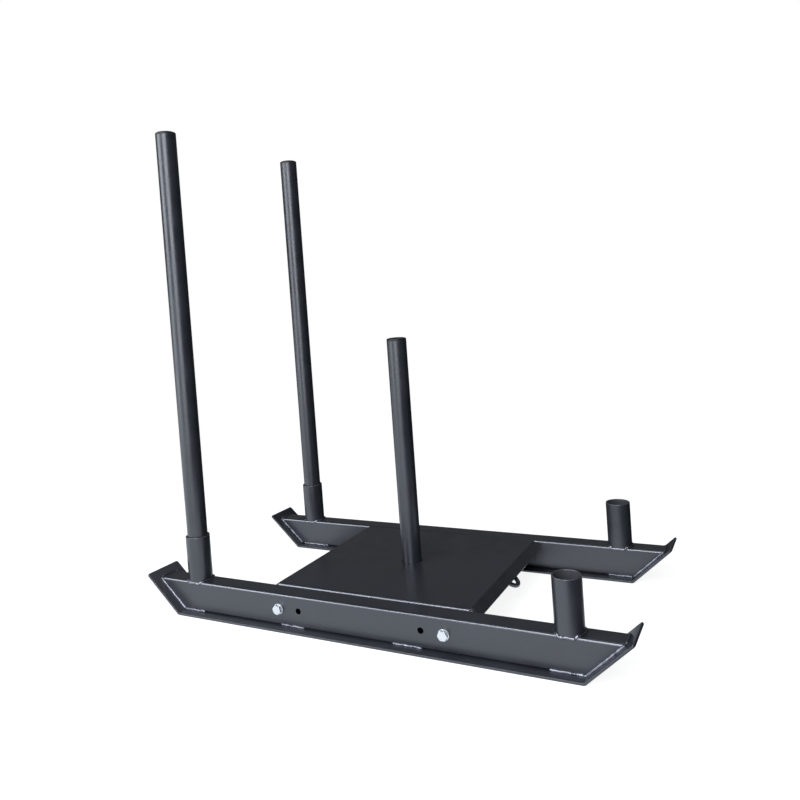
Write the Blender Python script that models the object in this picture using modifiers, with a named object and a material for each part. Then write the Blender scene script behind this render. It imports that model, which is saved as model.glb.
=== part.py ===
"""Weight sled: two skid runners, a bolted deck with a lift-out weight post, and two push poles.

Units are metres and +Z is up. +X is the pull direction and +Y the sled's left side. The origin is on
the floor, below the middle of the deck.
"""

import math

import bmesh
import bpy

# Gaps and clearances
CONTACT_GAP = 0.0003
POLE_CLEARANCE = 0.001
BOLT_CLEARANCE = 0.001
WASHER_CLEARANCE = 0.0005

# Runner tubes: rectangular tube laid on edge, both ends mitred to a trapezoid
RUNNER_PITCH = 0.500
RUNNER_FLAT_LENGTH = 0.965
TUBE_WIDTH = 0.050
TUBE_HEIGHT = 0.070
TUBE_WALL = 0.003
TUBE_INNER_RADIUS = 0.002
MITRE_ANGLE = math.radians(43)

# Skid plates: wider flat bar, bent up along both mitres
SKID_WIDTH = 0.100
SKID_THICKNESS = 0.005
SKID_BEND_RADIUS = 0.004
SKID_TIP_RISE = 0.0145
SKID_CORNER_RADIUS = 0.005

# Sockets: one near each end of each runner, set in from the skid's bend
SOCKET_WALL = 0.0035
SOCKET_HEIGHT = 0.106
SOCKET_INSET = 0.0325
SOCKET_RIM_CHAMFER = 0.0008

# Push poles and weight post, cut from one size of tube that weight plates with 50 mm holes slide on
POLE_DIAMETER = 0.048
POLE_WALL = 0.0025
POLE_LENGTH = 1.070
POST_RISE = 0.540

# Plastic end caps
CAP_LIP = 0.002
CAP_DOME = 0.0055
CAP_PLUG_DEPTH = 0.018
CAP_PLUG_WALL = 0.002
CAP_RIB_HEIGHT = 0.0015
CAP_RIB_COUNT = 2

# Deck: one folded sheet between the runners
DECK_LENGTH = 0.480
DECK_THICKNESS = 0.004
DECK_BEND_RADIUS = 0.003
DECK_PROUD = 0.002
END_FLANGE_WIDTH = 0.026
END_FLANGE_ANGLE = math.radians(35)
CORNER_RELIEF = 0.0015

# Sleeve under the deck that the weight post stands in
GROUND_CLEARANCE = 0.019
SLEEVE_FLOOR_THICKNESS = 0.004

# Pull eye: a round bar bent to a U and welded under the front flange
EYE_BAR_DIAMETER = 0.010
EYE_BEND_RADIUS = 0.019
EYE_REACH = 0.0127
EYE_LEG_START = 0.006

# Fasteners: M12 hex bolts, washers and nuts
BOLT_DIAMETER = 0.012
BOLT_TAIL = 0.0095
HEX_WALL = 0.0035
HEX_CHAMFER = 0.0012
HEAD_HEIGHT = 0.0075
NUT_HEIGHT = 0.010
WASHER_RIM = 0.0055
WASHER_THICKNESS = 0.0025

# Holes along the deck's side flanges, measured from the end folds, the deck's face and each other
BOLT_END_DISTANCE = 0.038
BOLT_DROP = 0.035
BOLT_EDGE_DISTANCE = 0.020
SPARE_HOLE_OFFSET = 0.052

# Fineness of the round shapes
TUBE_STEPS = 32
BOLT_STEPS = 20
DOME_STEPS = 3
BEND_STEPS = 4
CORNER_STEPS = 3
EYE_STEPS = 14
EYE_BAR_RESOLUTION = 2
SHARP_ANGLE = math.radians(30)
EDGE_TOLERANCE = 0.0001
MERGE_DISTANCE = 0.00001

# Places worked out from the sizes above
TUBE_BOTTOM = SKID_THICKNESS + CONTACT_GAP
TUBE_TOP = TUBE_BOTTOM + TUBE_HEIGHT
SKID_TANGENT = SKID_BEND_RADIUS * math.tan(MITRE_ANGLE / 2)
SKID_BEND_START = RUNNER_FLAT_LENGTH / 2 - SKID_TANGENT
SOCKET_BASE = TUBE_TOP + CONTACT_GAP
SOCKET_BORE = POLE_DIAMETER + 2 * POLE_CLEARANCE
SOCKET_DIAMETER = SOCKET_BORE + 2 * SOCKET_WALL
SOCKET_X = RUNNER_FLAT_LENGTH / 2 - SOCKET_INSET
POLE_BORE = POLE_DIAMETER - 2 * POLE_WALL
DECK_TOP = TUBE_TOP + DECK_PROUD
DECK_HALF_WIDTH = RUNNER_PITCH / 2 - TUBE_WIDTH / 2 - CONTACT_GAP
DECK_OUTER_RADIUS = DECK_BEND_RADIUS + DECK_THICKNESS
SIDE_FLANGE_HEIGHT = BOLT_DROP + BOLT_EDGE_DISTANCE
SLEEVE_TOP = DECK_TOP - DECK_THICKNESS - CONTACT_GAP
SLEEVE_FLOOR_TOP = GROUND_CLEARANCE + SLEEVE_FLOOR_THICKNESS
SLEEVE_BOTTOM = SLEEVE_FLOOR_TOP + CONTACT_GAP
POST_LENGTH = DECK_TOP + POST_RISE - SLEEVE_BOTTOM
BOLT_X = DECK_LENGTH / 2 - BOLT_END_DISTANCE
SPARE_HOLE_X = BOLT_X - SPARE_HOLE_OFFSET
BOLT_AXIS_HEIGHT = DECK_TOP - BOLT_DROP
BOLT_HOLE = BOLT_DIAMETER + 2 * BOLT_CLEARANCE
BOLT_GRIP = TUBE_WIDTH + CONTACT_GAP + DECK_THICKNESS
NUT_SEAT = CONTACT_GAP + WASHER_THICKNESS + CONTACT_GAP
BOLT_REACH = BOLT_GRIP + NUT_SEAT + NUT_HEIGHT + BOLT_TAIL

SIDES = {"right": -1, "left": 1}
ENDS = {"rear": -1, "front": 1}


def clear_scene():
    """Remove what a new file holds."""
    for obj in list(bpy.data.objects):
        bpy.data.objects.remove(obj, do_unlink=True)


def new_collection(name):
    """A collection linked to the scene."""
    collection = bpy.data.collections.new(name)
    bpy.context.scene.collection.children.link(collection)
    return collection


def finish(name, colour, roughness, metallic):
    """A Principled material with one colour."""
    material = bpy.data.materials.new(name)
    material.use_nodes = True
    shader = material.node_tree.nodes["Principled BSDF"]
    shader.inputs["Base Color"].default_value = (*colour, 1.0)
    shader.inputs["Roughness"].default_value = roughness
    shader.inputs["Metallic"].default_value = metallic
    material.diffuse_color = (*colour, 1.0)
    return material


def add_object(name, data, material=None):
    """An object in the part's collection."""
    obj = bpy.data.objects.new(name, data)
    PARTS.objects.link(obj)
    if material is not None:
        data.materials.clear()
        data.materials.append(material)
    return obj


def add_cutter(obj):
    """Move an object to the cutters, which aren't part of the sled."""
    for collection in list(obj.users_collection):
        collection.objects.unlink(obj)
    CUTTERS.objects.link(obj)
    obj.hide_render = True
    obj.display_type = "WIRE"
    return obj


def boolean(obj, other, operation):
    """Add an exact Boolean with another object."""
    modifier = obj.modifiers.new(operation.title(), "BOOLEAN")
    modifier.operation = operation
    modifier.solver = "EXACT"
    modifier.object = other


def settle(obj):
    """Replace an object's mesh with what its modifiers make of it, shaded smooth up to sharp edges."""
    bpy.context.view_layer.update()
    evaluated = obj.evaluated_get(bpy.context.evaluated_depsgraph_get())
    mesh = bpy.data.meshes.new_from_object(evaluated)
    obj.modifiers.clear()
    obj.data = mesh
    mesh.name = obj.name
    mesh.shade_smooth()
    mesh.set_sharp_from_angle(angle=SHARP_ANGLE)
    return mesh


def mesh_object(name, bm, material=None):
    """An object from a bmesh, which is then freed."""
    mesh = bpy.data.meshes.new(name)
    bm.to_mesh(mesh)
    bm.free()
    return add_object(name, mesh, material)


def turned(name, profile, steps, material=None, ring=False):
    """A turned solid about Z. The profile is (radius, height) points that run down its outer side."""
    points = [(radius, 0.0, height) for radius, height in profile]
    edges = [(index, index + 1) for index in range(len(points) - 1)]
    if ring:
        edges.append((len(points) - 1, 0))
    mesh = bpy.data.meshes.new(name)
    mesh.from_pydata(points, edges, [])
    obj = add_object(name, mesh, material)
    screw = obj.modifiers.new("Turn", "SCREW")
    screw.axis = "Z"
    screw.steps = steps
    screw.render_steps = steps
    screw.use_merge_vertices = True
    screw.merge_threshold = MERGE_DISTANCE
    return obj


def cylinder(name, diameter, bottom, top, steps, material=None):
    """A plain cylinder about Z."""
    bm = bmesh.new()
    bmesh.ops.create_cone(
        bm, cap_ends=True, segments=steps, radius1=diameter / 2, radius2=diameter / 2, depth=top - bottom
    )
    bmesh.ops.translate(bm, verts=bm.verts, vec=(0, 0, (bottom + top) / 2))
    return mesh_object(name, bm, material)


def copy_of(mesh, name, parent, location, rotation=(0, 0, 0)):
    """Another object that shares a finished mesh."""
    obj = add_object(name, mesh)
    return put(obj, parent, location, rotation)


def put(obj, parent, location, rotation=(0, 0, 0)):
    """Place an object in its parent's frame."""
    obj.parent = parent
    obj.location = location
    obj.rotation_euler = rotation
    return obj


def empty(name, location, parent=None):
    """A frame that other objects hang on."""
    obj = add_object(name, None)
    return put(obj, parent, location)


def rounded_rectangle(width, height, radius):
    """Points round a rectangle with round corners, from its first quadrant on."""
    points = []
    for quadrant, (side_x, side_y) in enumerate(((1, 1), (-1, 1), (-1, -1), (1, -1))):
        centre_x = side_x * (width / 2 - radius)
        centre_y = side_y * (height / 2 - radius)
        for step in range(CORNER_STEPS + 1):
            angle = (quadrant + step / CORNER_STEPS) * math.pi / 2
            points.append((centre_x + radius * math.cos(angle), centre_y + radius * math.sin(angle)))
    return points


def extruded_outline(name, outlines, length):
    """A flat outline with holes, filled and extruded to a length along Z, as a bmesh."""
    curve = bpy.data.curves.new(name, "CURVE")
    curve.dimensions = "2D"
    curve.fill_mode = "BOTH"
    curve.extrude = length / 2
    for outline in outlines:
        spline = curve.splines.new("POLY")
        spline.points.add(len(outline) - 1)
        for point, (x, y) in zip(spline.points, outline):
            point.co = (x, y, 0, 1)
        spline.use_cyclic_u = True
    outline_object = add_object(name + "_outline", curve)
    bpy.context.view_layer.update()
    evaluated = outline_object.evaluated_get(bpy.context.evaluated_depsgraph_get())
    mesh = bpy.data.meshes.new_from_object(evaluated)
    bpy.data.objects.remove(outline_object, do_unlink=True)
    bm = bmesh.new()
    bm.from_mesh(mesh)
    bpy.data.meshes.remove(mesh)
    bmesh.ops.remove_doubles(bm, verts=bm.verts, dist=MERGE_DISTANCE)
    return bm


def runner_tube_mesh(finish_material):
    """The mitred, drilled tube of one runner, in the runner's frame, as a finished mesh."""
    outer = rounded_rectangle(TUBE_WIDTH, TUBE_HEIGHT, TUBE_INNER_RADIUS + TUBE_WALL)
    inner = rounded_rectangle(
        TUBE_WIDTH - 2 * TUBE_WALL, TUBE_HEIGHT - 2 * TUBE_WALL, TUBE_INNER_RADIUS
    )
    stock_length = RUNNER_FLAT_LENGTH + 2 * TUBE_HEIGHT / math.tan(MITRE_ANGLE)
    bm = extruded_outline("runner_stock", (outer, inner), stock_length)
    tube = mesh_object("runner_tube", bm, finish_material)
    tube.rotation_euler = (math.pi / 2, 0, math.pi / 2)
    tube.location = (0, 0, TUBE_BOTTOM + TUBE_HEIGHT / 2)
    bake_placement(tube)
    for end in ENDS.values():
        boolean(tube, mitre_cutter(end), "DIFFERENCE")
        for hole_x in (BOLT_X, SPARE_HOLE_X):
            boolean(tube, cross_hole(end * hole_x, TUBE_WIDTH), "DIFFERENCE")
    return take_mesh(tube)


def bake_placement(obj):
    """Move an object's place into its mesh."""
    bpy.context.view_layer.update()
    obj.data.transform(obj.matrix_world)
    obj.location = (0, 0, 0)
    obj.rotation_euler = (0, 0, 0)


def take_mesh(obj):
    """Finish an object's mesh, keep it and remove the object."""
    mesh = settle(obj)
    bpy.data.objects.remove(obj, do_unlink=True)
    return mesh


def mitre_cutter(end):
    """A block past the mitre plane, which leaves the tube's lower corner where the skid's bend starts."""
    block = 2 * (TUBE_HEIGHT / math.sin(MITRE_ANGLE) + TUBE_WIDTH)
    bm = bmesh.new()
    bmesh.ops.create_cube(bm, size=block)
    cutter = mesh_object("mitre_cutter", bm)
    cutter.rotation_euler = (0, -end * MITRE_ANGLE, 0)
    cutter.location = (
        end * (SKID_BEND_START + math.sin(MITRE_ANGLE) * block / 2),
        0,
        TUBE_BOTTOM - math.cos(MITRE_ANGLE) * block / 2,
    )
    return add_cutter(cutter)


def cross_hole(x, width, y=0.0):
    """A cutter along Y for a bolt hole through a width of metal."""
    cutter = cylinder("bolt_hole_cutter", BOLT_HOLE, -width, width, BOLT_STEPS)
    cutter.rotation_euler = (math.pi / 2, 0, 0)
    cutter.location = (x, y, BOLT_AXIS_HEIGHT)
    return add_cutter(cutter)


def plane_sheet(length, width, height, rows=1):
    """A bmesh with one flat sheet at a height, divided across its width."""
    bm = bmesh.new()
    bmesh.ops.create_grid(bm, x_segments=1, y_segments=rows, size=0.5)
    bmesh.ops.scale(bm, verts=bm.verts, vec=(length, width, 1))
    bmesh.ops.translate(bm, verts=bm.verts, vec=(0, 0, height))
    return bm


def edges_at(bm, test):
    """The boundary edges whose two ends both pass a test."""
    return [edge for edge in bm.edges if edge.is_boundary and all(test(vert.co) for vert in edge.verts)]


def fold(bm, edges, centre, axis, angle, leg):
    """Bend a sheet round an axis from some edges on, then carry it straight on by a leg vector."""
    bent = bmesh.ops.spin(
        bm, geom=edges, cent=centre, axis=axis, dvec=(0, 0, 0), angle=angle, steps=BEND_STEPS
    )
    last = [item for item in bent["geom_last"] if isinstance(item, bmesh.types.BMEdge)]
    grown = bmesh.ops.extrude_edge_only(bm, edges=last)["geom"]
    verts = [item for item in grown if isinstance(item, bmesh.types.BMVert)]
    bmesh.ops.translate(bm, verts=verts, vec=leg)
    return verts


def sheet_object(name, bm, thickness, material):
    """A sheet with its thickness added below its surface."""
    bmesh.ops.recalc_face_normals(bm, faces=bm.faces)
    flat = max(bm.faces, key=lambda face: face.calc_area())
    if flat.normal.z < 0:
        bmesh.ops.reverse_faces(bm, faces=bm.faces)
    obj = mesh_object(name, bm, material)
    wall = obj.modifiers.new("Thickness", "SOLIDIFY")
    wall.thickness = thickness
    wall.offset = -1.0
    wall.use_even_offset = True
    return obj


def skid_mesh(finish_material):
    """The skid of one runner, bent up at both ends, in the runner's frame, as a finished mesh."""
    tip_height = TUBE_TOP + SKID_TIP_RISE - SKID_THICKNESS
    leg = tip_height / math.sin(MITRE_ANGLE) - SKID_TANGENT
    bm = plane_sheet(2 * SKID_BEND_START, SKID_WIDTH, SKID_THICKNESS)
    tips = []
    for end in ENDS.values():
        edges = edges_at(bm, lambda co: abs(co.x - end * SKID_BEND_START) < EDGE_TOLERANCE)
        centre = (end * SKID_BEND_START, 0, SKID_THICKNESS + SKID_BEND_RADIUS)
        leg_vector = (end * leg * math.cos(MITRE_ANGLE), 0, leg * math.sin(MITRE_ANGLE))
        tips += fold(bm, edges, centre, (0, 1, 0), -end * MITRE_ANGLE, leg_vector)
    bmesh.ops.bevel(
        bm,
        geom=tips,
        offset=SKID_CORNER_RADIUS,
        offset_type="OFFSET",
        segments=CORNER_STEPS,
        profile=0.5,
        affect="VERTICES",
        material=-1,
    )
    return take_mesh(sheet_object("skid_plate", bm, SKID_THICKNESS, finish_material))


def round_tube(name, outer, bore, length, steps, material, rim_chamfer=0.0):
    """A round tube that stands on its frame's XY plane. A chamfer breaks its upper rim."""
    radius = outer / 2
    bore_radius = bore / 2
    wall_top = length - rim_chamfer
    profile = [(radius, wall_top), (radius, 0), (bore_radius, 0), (bore_radius, wall_top)]
    if rim_chamfer > 0:
        profile += [(bore_radius + rim_chamfer, length), (radius - rim_chamfer, length)]
    return turned(name, profile, steps, material, ring=True)


def cap_mesh(finish_material):
    """A domed end cap with a ribbed plug, its origin at the end of the pole that it closes."""
    radius = POLE_DIAMETER / 2
    seat = CONTACT_GAP
    lip_top = seat + CAP_LIP
    sphere = (radius**2 + CAP_DOME**2) / (2 * CAP_DOME)
    half_angle = math.asin(radius / sphere)
    profile = []
    for step in range(DOME_STEPS + 1):
        angle = half_angle * step / DOME_STEPS
        profile.append((sphere * math.sin(angle), lip_top + CAP_DOME - sphere * (1 - math.cos(angle))))
    rib = POLE_BORE / 2 - CONTACT_GAP
    core = rib - CAP_RIB_HEIGHT
    pitch = CAP_PLUG_DEPTH / (CAP_RIB_COUNT + 1)
    profile += [(radius, seat), (core, seat)]
    for index in range(1, CAP_RIB_COUNT + 1):
        middle = -index * pitch
        profile += [(core, middle + CAP_RIB_HEIGHT / 2), (rib, middle), (core, middle - CAP_RIB_HEIGHT / 2)]
    hollow = core - CAP_PLUG_WALL
    profile += [(core, -CAP_PLUG_DEPTH), (hollow, -CAP_PLUG_DEPTH), (hollow, seat), (0, seat)]
    return take_mesh(turned("end_cap", profile, TUBE_STEPS, finish_material))


def hexagon(name, height, material):
    """A hexagon bar of the bolt's size that stands on XY, its upper corners chamfered."""
    flat_radius = BOLT_DIAMETER / 2 + HEX_WALL
    bar = cylinder(name, 2 * flat_radius / math.cos(math.pi / 6), 0, height, 6, material)
    corner_radius = flat_radius + 2 * HEX_CHAMFER
    profile = [
        (0, height + CONTACT_GAP),
        (flat_radius - HEX_CHAMFER, height + CONTACT_GAP),
        (corner_radius, height - HEX_CHAMFER),
        (corner_radius, -CONTACT_GAP),
        (0, -CONTACT_GAP),
    ]
    boolean(bar, add_cutter(turned(name + "_chamfer", profile, BOLT_STEPS)), "INTERSECT")
    return bar


def bolt_mesh(finish_material):
    """A hex bolt along Z. Its origin is under its head, where its washer lies."""
    bolt = hexagon("hex_bolt", HEAD_HEIGHT, finish_material)
    shank = cylinder("shank", BOLT_DIAMETER, -NUT_SEAT - BOLT_REACH, HEAD_HEIGHT / 2, BOLT_STEPS)
    boolean(bolt, add_cutter(shank), "UNION")
    return take_mesh(bolt)


def nut_mesh(finish_material):
    """A hex nut that stands on XY, bored clear of the bolt."""
    nut = hexagon("hex_nut", NUT_HEIGHT, finish_material)
    bore = cylinder("nut_bore", BOLT_DIAMETER + 2 * CONTACT_GAP, -NUT_HEIGHT, 2 * NUT_HEIGHT, BOLT_STEPS)
    boolean(nut, add_cutter(bore), "DIFFERENCE")
    return take_mesh(nut)


def washer_mesh(finish_material):
    """A flat washer that stands on XY."""
    bore = BOLT_DIAMETER + 2 * WASHER_CLEARANCE
    outer = bore + 2 * WASHER_RIM
    return take_mesh(round_tube("washer", outer, bore, WASHER_THICKNESS, BOLT_STEPS, finish_material))


def build_runner(side, meshes):
    """One runner with its sockets, its pole and the bolts that hold the deck to it."""
    sign = SIDES[side]
    runner = empty(side + "_runner", (0, sign * RUNNER_PITCH / 2, 0))
    copy_of(meshes["tube"], side + "_runner_tube", runner, (0, 0, 0))
    copy_of(meshes["skid"], side + "_skid_plate", runner, (0, 0, 0))
    for end, direction in ENDS.items():
        socket_place = (direction * SOCKET_X, 0, SOCKET_BASE)
        copy_of(meshes["socket"], side + "_" + end + "_socket", runner, socket_place)
        build_bolt(side + "_" + end, runner, sign, direction * BOLT_X, meshes)
    pole_place = (ENDS["rear"] * SOCKET_X, 0, SOCKET_BASE)
    pole = copy_of(meshes["pole"], side + "_push_pole", runner, pole_place)
    copy_of(meshes["cap"], side + "_pole_cap", pole, (0, 0, POLE_LENGTH))


def build_bolt(name, runner, sign, x, meshes):
    """A bolt through tube and flange, with a washer at each end and a nut inside."""
    outward = (-sign * math.pi / 2, 0, 0)
    inward = (sign * math.pi / 2, 0, 0)
    outer_face = sign * TUBE_WIDTH / 2
    inner_face = outer_face - sign * BOLT_GRIP
    bolt_place = (x, outer_face + sign * NUT_SEAT, BOLT_AXIS_HEIGHT)
    copy_of(meshes["bolt"], name + "_bolt", runner, bolt_place, outward)
    outer_washer_place = (x, outer_face + sign * CONTACT_GAP, BOLT_AXIS_HEIGHT)
    copy_of(meshes["washer"], name + "_outer_washer", runner, outer_washer_place, outward)
    inner_washer_place = (x, inner_face - sign * CONTACT_GAP, BOLT_AXIS_HEIGHT)
    copy_of(meshes["washer"], name + "_inner_washer", runner, inner_washer_place, inward)
    nut_place = (x, inner_face - sign * NUT_SEAT, BOLT_AXIS_HEIGHT)
    copy_of(meshes["nut"], name + "_nut", runner, nut_place, inward)


def deck_sheet():
    """The deck's upper surface as a bmesh: a flat, side flanges and end flanges, relieved at the corners."""
    end_tangent = DECK_OUTER_RADIUS * math.tan(END_FLANGE_ANGLE / 2)
    flat_x = DECK_LENGTH / 2 - end_tangent
    flat_y = DECK_HALF_WIDTH - DECK_OUTER_RADIUS
    end_flange_y = flat_y - CORNER_RELIEF
    bend_height = DECK_TOP - DECK_OUTER_RADIUS
    bm = plane_sheet(2 * flat_x, 2 * flat_y, DECK_TOP, rows=3)
    for vert in bm.verts:
        if abs(vert.co.y) < flat_y / 2:
            vert.co.y = math.copysign(end_flange_y, vert.co.y)
    end_leg = END_FLANGE_WIDTH - end_tangent
    for end in ENDS.values():
        end_edges = edges_at(
            bm, lambda co: abs(co.x - end * flat_x) < EDGE_TOLERANCE and abs(co.y) < flat_y - EDGE_TOLERANCE
        )
        slope = (end * end_leg * math.cos(END_FLANGE_ANGLE), 0, -end_leg * math.sin(END_FLANGE_ANGLE))
        fold(bm, end_edges, (end * flat_x, 0, bend_height), (0, 1, 0), end * END_FLANGE_ANGLE, slope)
    for sign in SIDES.values():
        side_edges = edges_at(bm, lambda co: abs(co.y - sign * flat_y) < EDGE_TOLERANCE)
        drop = (0, 0, DECK_OUTER_RADIUS - SIDE_FLANGE_HEIGHT)
        fold(bm, side_edges, (0, sign * flat_y, bend_height), (1, 0, 0), -sign * math.pi / 2, drop)
    return bm


def build_deck(finish_material):
    """The folded deck, drilled for the bolts and for the weight post."""
    deck = sheet_object("deck_plate", deck_sheet(), DECK_THICKNESS, finish_material)
    for sign in SIDES.values():
        for end in ENDS.values():
            for hole_x in (BOLT_X, SPARE_HOLE_X):
                hole = cross_hole(end * hole_x, 2 * DECK_THICKNESS, sign * DECK_HALF_WIDTH)
                boolean(deck, hole, "DIFFERENCE")
    post_hole = cylinder("post_hole", SOCKET_BORE, SLEEVE_TOP, DECK_TOP + DECK_THICKNESS, TUBE_STEPS)
    boolean(deck, add_cutter(post_hole), "DIFFERENCE")
    settle(deck)


def build_post(meshes, finish_material):
    """The weight post, its cap, and the sleeve with a floor that it stands in under the deck."""
    sleeve_depth = SLEEVE_TOP - SLEEVE_BOTTOM
    sleeve = round_tube(
        "post_sleeve", SOCKET_DIAMETER, SOCKET_BORE, sleeve_depth, TUBE_STEPS, finish_material
    )
    floor = cylinder(
        "sleeve_floor", SOCKET_DIAMETER, -SLEEVE_FLOOR_THICKNESS, 0, TUBE_STEPS, finish_material
    )
    post = round_tube("weight_post", POLE_DIAMETER, POLE_BORE, POST_LENGTH, TUBE_STEPS, finish_material)
    for piece, height in ((sleeve, SLEEVE_BOTTOM), (floor, SLEEVE_FLOOR_TOP), (post, SLEEVE_BOTTOM)):
        put(piece, None, (0, 0, height))
        settle(piece)
    copy_of(meshes["cap"], "post_cap", post, (0, 0, POST_LENGTH))


def build_pull_eye(finish_material):
    """A bar bent to a U whose legs lie along the underside of the front flange."""
    depth = DECK_THICKNESS + CONTACT_GAP + EYE_BAR_DIAMETER / 2
    bend_centre = END_FLANGE_WIDTH + EYE_REACH - EYE_BEND_RADIUS
    points = [(EYE_LEG_START, -EYE_BEND_RADIUS)]
    for step in range(EYE_STEPS + 1):
        angle = -math.pi / 2 + math.pi * step / EYE_STEPS
        points.append((bend_centre + EYE_BEND_RADIUS * math.cos(angle), EYE_BEND_RADIUS * math.sin(angle)))
    points.append((EYE_LEG_START, EYE_BEND_RADIUS))
    curve = bpy.data.curves.new("pull_eye", "CURVE")
    curve.dimensions = "3D"
    curve.bevel_depth = EYE_BAR_DIAMETER / 2
    curve.bevel_resolution = EYE_BAR_RESOLUTION
    curve.use_fill_caps = True
    spline = curve.splines.new("POLY")
    spline.points.add(len(points) - 1)
    for point, (along, across) in zip(spline.points, points):
        point.co = (along, across, 0, 1)
    eye = add_object("pull_eye", curve, finish_material)
    eye.rotation_euler = (0, END_FLANGE_ANGLE, 0)
    eye.location = (
        DECK_LENGTH / 2 - depth * math.sin(END_FLANGE_ANGLE),
        0,
        DECK_TOP - depth * math.cos(END_FLANGE_ANGLE),
    )


def build_sled():
    """Every piece of the sled."""
    coat = finish("black_powder_coat", (0.021, 0.022, 0.025), 0.38, 0.0)
    zinc = finish("zinc_plate", (0.62, 0.62, 0.60), 0.3, 1.0)
    plastic = finish("black_plastic", (0.012, 0.012, 0.013), 0.45, 0.0)
    socket = round_tube(
        "socket", SOCKET_DIAMETER, SOCKET_BORE, SOCKET_HEIGHT, TUBE_STEPS, coat, SOCKET_RIM_CHAMFER
    )
    pole = round_tube("push_pole", POLE_DIAMETER, POLE_BORE, POLE_LENGTH, TUBE_STEPS, coat)
    meshes = {
        "tube": runner_tube_mesh(coat),
        "skid": skid_mesh(coat),
        "socket": take_mesh(socket),
        "pole": take_mesh(pole),
        "cap": cap_mesh(plastic),
        "bolt": bolt_mesh(zinc),
        "nut": nut_mesh(zinc),
        "washer": washer_mesh(zinc),
    }
    for side in SIDES:
        build_runner(side, meshes)
    build_deck(coat)
    build_post(meshes, coat)
    build_pull_eye(coat)


clear_scene()
PARTS = new_collection("weight_sled")
CUTTERS = new_collection("cutters")
build_sled()
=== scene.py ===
"""Looks of the weight sled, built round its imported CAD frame.

Units are metres, +Z is up, +X is the pull direction and +Y the sled's left side. Places and outer sizes come
from the boxes of the CAD nodes, and the sizes that a box doesn't give are named here.
"""

import logging
import math
from dataclasses import dataclass
from enum import Enum
from typing import Iterable, Sequence

import bmesh
import bpy
from bmesh.types import BMEdge, BMesh, BMFace, BMLayerItem, BMVert
from bpy.types import Material, Node, NodeSocket, NodeTree, Object
from mathutils import Matrix, Vector, noise


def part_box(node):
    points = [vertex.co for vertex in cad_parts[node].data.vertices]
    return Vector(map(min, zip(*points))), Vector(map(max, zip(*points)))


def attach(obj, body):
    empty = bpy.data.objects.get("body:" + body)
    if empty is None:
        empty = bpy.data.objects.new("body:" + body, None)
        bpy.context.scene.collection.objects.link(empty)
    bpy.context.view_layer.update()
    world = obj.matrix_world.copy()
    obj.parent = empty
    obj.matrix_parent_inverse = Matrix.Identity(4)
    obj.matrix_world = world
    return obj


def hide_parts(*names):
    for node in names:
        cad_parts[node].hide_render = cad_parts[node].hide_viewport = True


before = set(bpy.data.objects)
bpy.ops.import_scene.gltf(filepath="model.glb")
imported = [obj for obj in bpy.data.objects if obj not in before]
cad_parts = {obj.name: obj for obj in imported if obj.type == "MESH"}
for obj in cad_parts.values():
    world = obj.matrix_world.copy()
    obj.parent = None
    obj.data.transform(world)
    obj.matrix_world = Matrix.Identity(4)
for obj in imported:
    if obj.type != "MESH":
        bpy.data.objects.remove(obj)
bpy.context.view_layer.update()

PHOTO_PIXELS = 800
SENSOR_WIDTH_MM = 36.0

MERGE_DISTANCE = 0.00001
EDGE_TOLERANCE = 0.0001
SHARP_ANGLE = math.radians(35)
TUBE_STEPS = 96
SMALL_STEPS = 48
BEND_STEPS = 10
CORNER_STEPS = 8
WELD_POINT_SPACING = 0.001
WELD_OVERLAP_POINTS = 5
EDGE_ATTRIBUTE = "rounded_edge"

# A rounded corner along the top is worn where its normal's X is under LEVEL and its Z over WORN_FROM.
LEVEL = 0.05
WORN_FROM = 0.2

# Fixes the weld beads' sway, which would otherwise follow the clock and differ at each run.
# With this one no bead at a socket's foot reaches through to the pole.
SWAY_SEED = 3

# The range that a noise texture mostly keeps to, and its whole range.
USUAL_NOISE = (0.35, 0.65)
WHOLE_NOISE = (0.0, 1.0)

# Sockets of a Mix node by number: the two values, the two colours, and the colour that comes out.
VALUE_A = 2
VALUE_B = 3
COLOUR_A = 6
COLOUR_B = 7
MIXED_COLOUR = 2

# Seeds of the weld beads. They pick each bead's own unevenness and measure nothing.
STITCH_SEED = 90
CLIMB_SEED = 3.7
MITRE_TOP_SEED = 5.9
FOOT_SEED = 8.3
CORNER_SEED = 9.4
SLEEVE_SEED = 20.5
EYE_SEED = 31.2

# A round hole: its middle, its axis and its radius.
Hole = tuple[Vector, Vector, float]

# A value, or an output socket to link, for each input of a node by name or number.
Inputs = dict[str | int, object]


class Direction(Enum):
    """A direction that is part of the CAD nodes' names."""

    @property
    def word(self) -> str:
        """The direction as the CAD nodes spell it."""
        return self.name.lower()


class Side(Direction):
    """The sled's two sides, with their direction along Y."""

    RIGHT = -1
    LEFT = 1


class End(Direction):
    """The sled's two ends, with their direction along X."""

    REAR = -1
    FRONT = 1


class Body(Enum):
    """The bodies that pieces ride on."""

    FRAME = "frame"
    RIGHT_POLE = "right_pole"
    LEFT_POLE = "left_pole"
    POST = "post"


class Slot(Enum):
    """The record's material slots."""

    POWDER_COAT = "powder_coat"
    ZINC_PLATE = "zinc_plate"
    CAP_PLASTIC = "cap_plastic"


class Carving(Enum):
    """Ways to carve one solid with another."""

    CUT = "DIFFERENCE"
    COMMON = "INTERSECT"


class Rounding(Enum):
    """What is rounded: a solid's edges, or the corners of a flat sheet."""

    EDGES = "EDGES"
    CORNERS = "VERTICES"


# Colours and nodes


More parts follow.
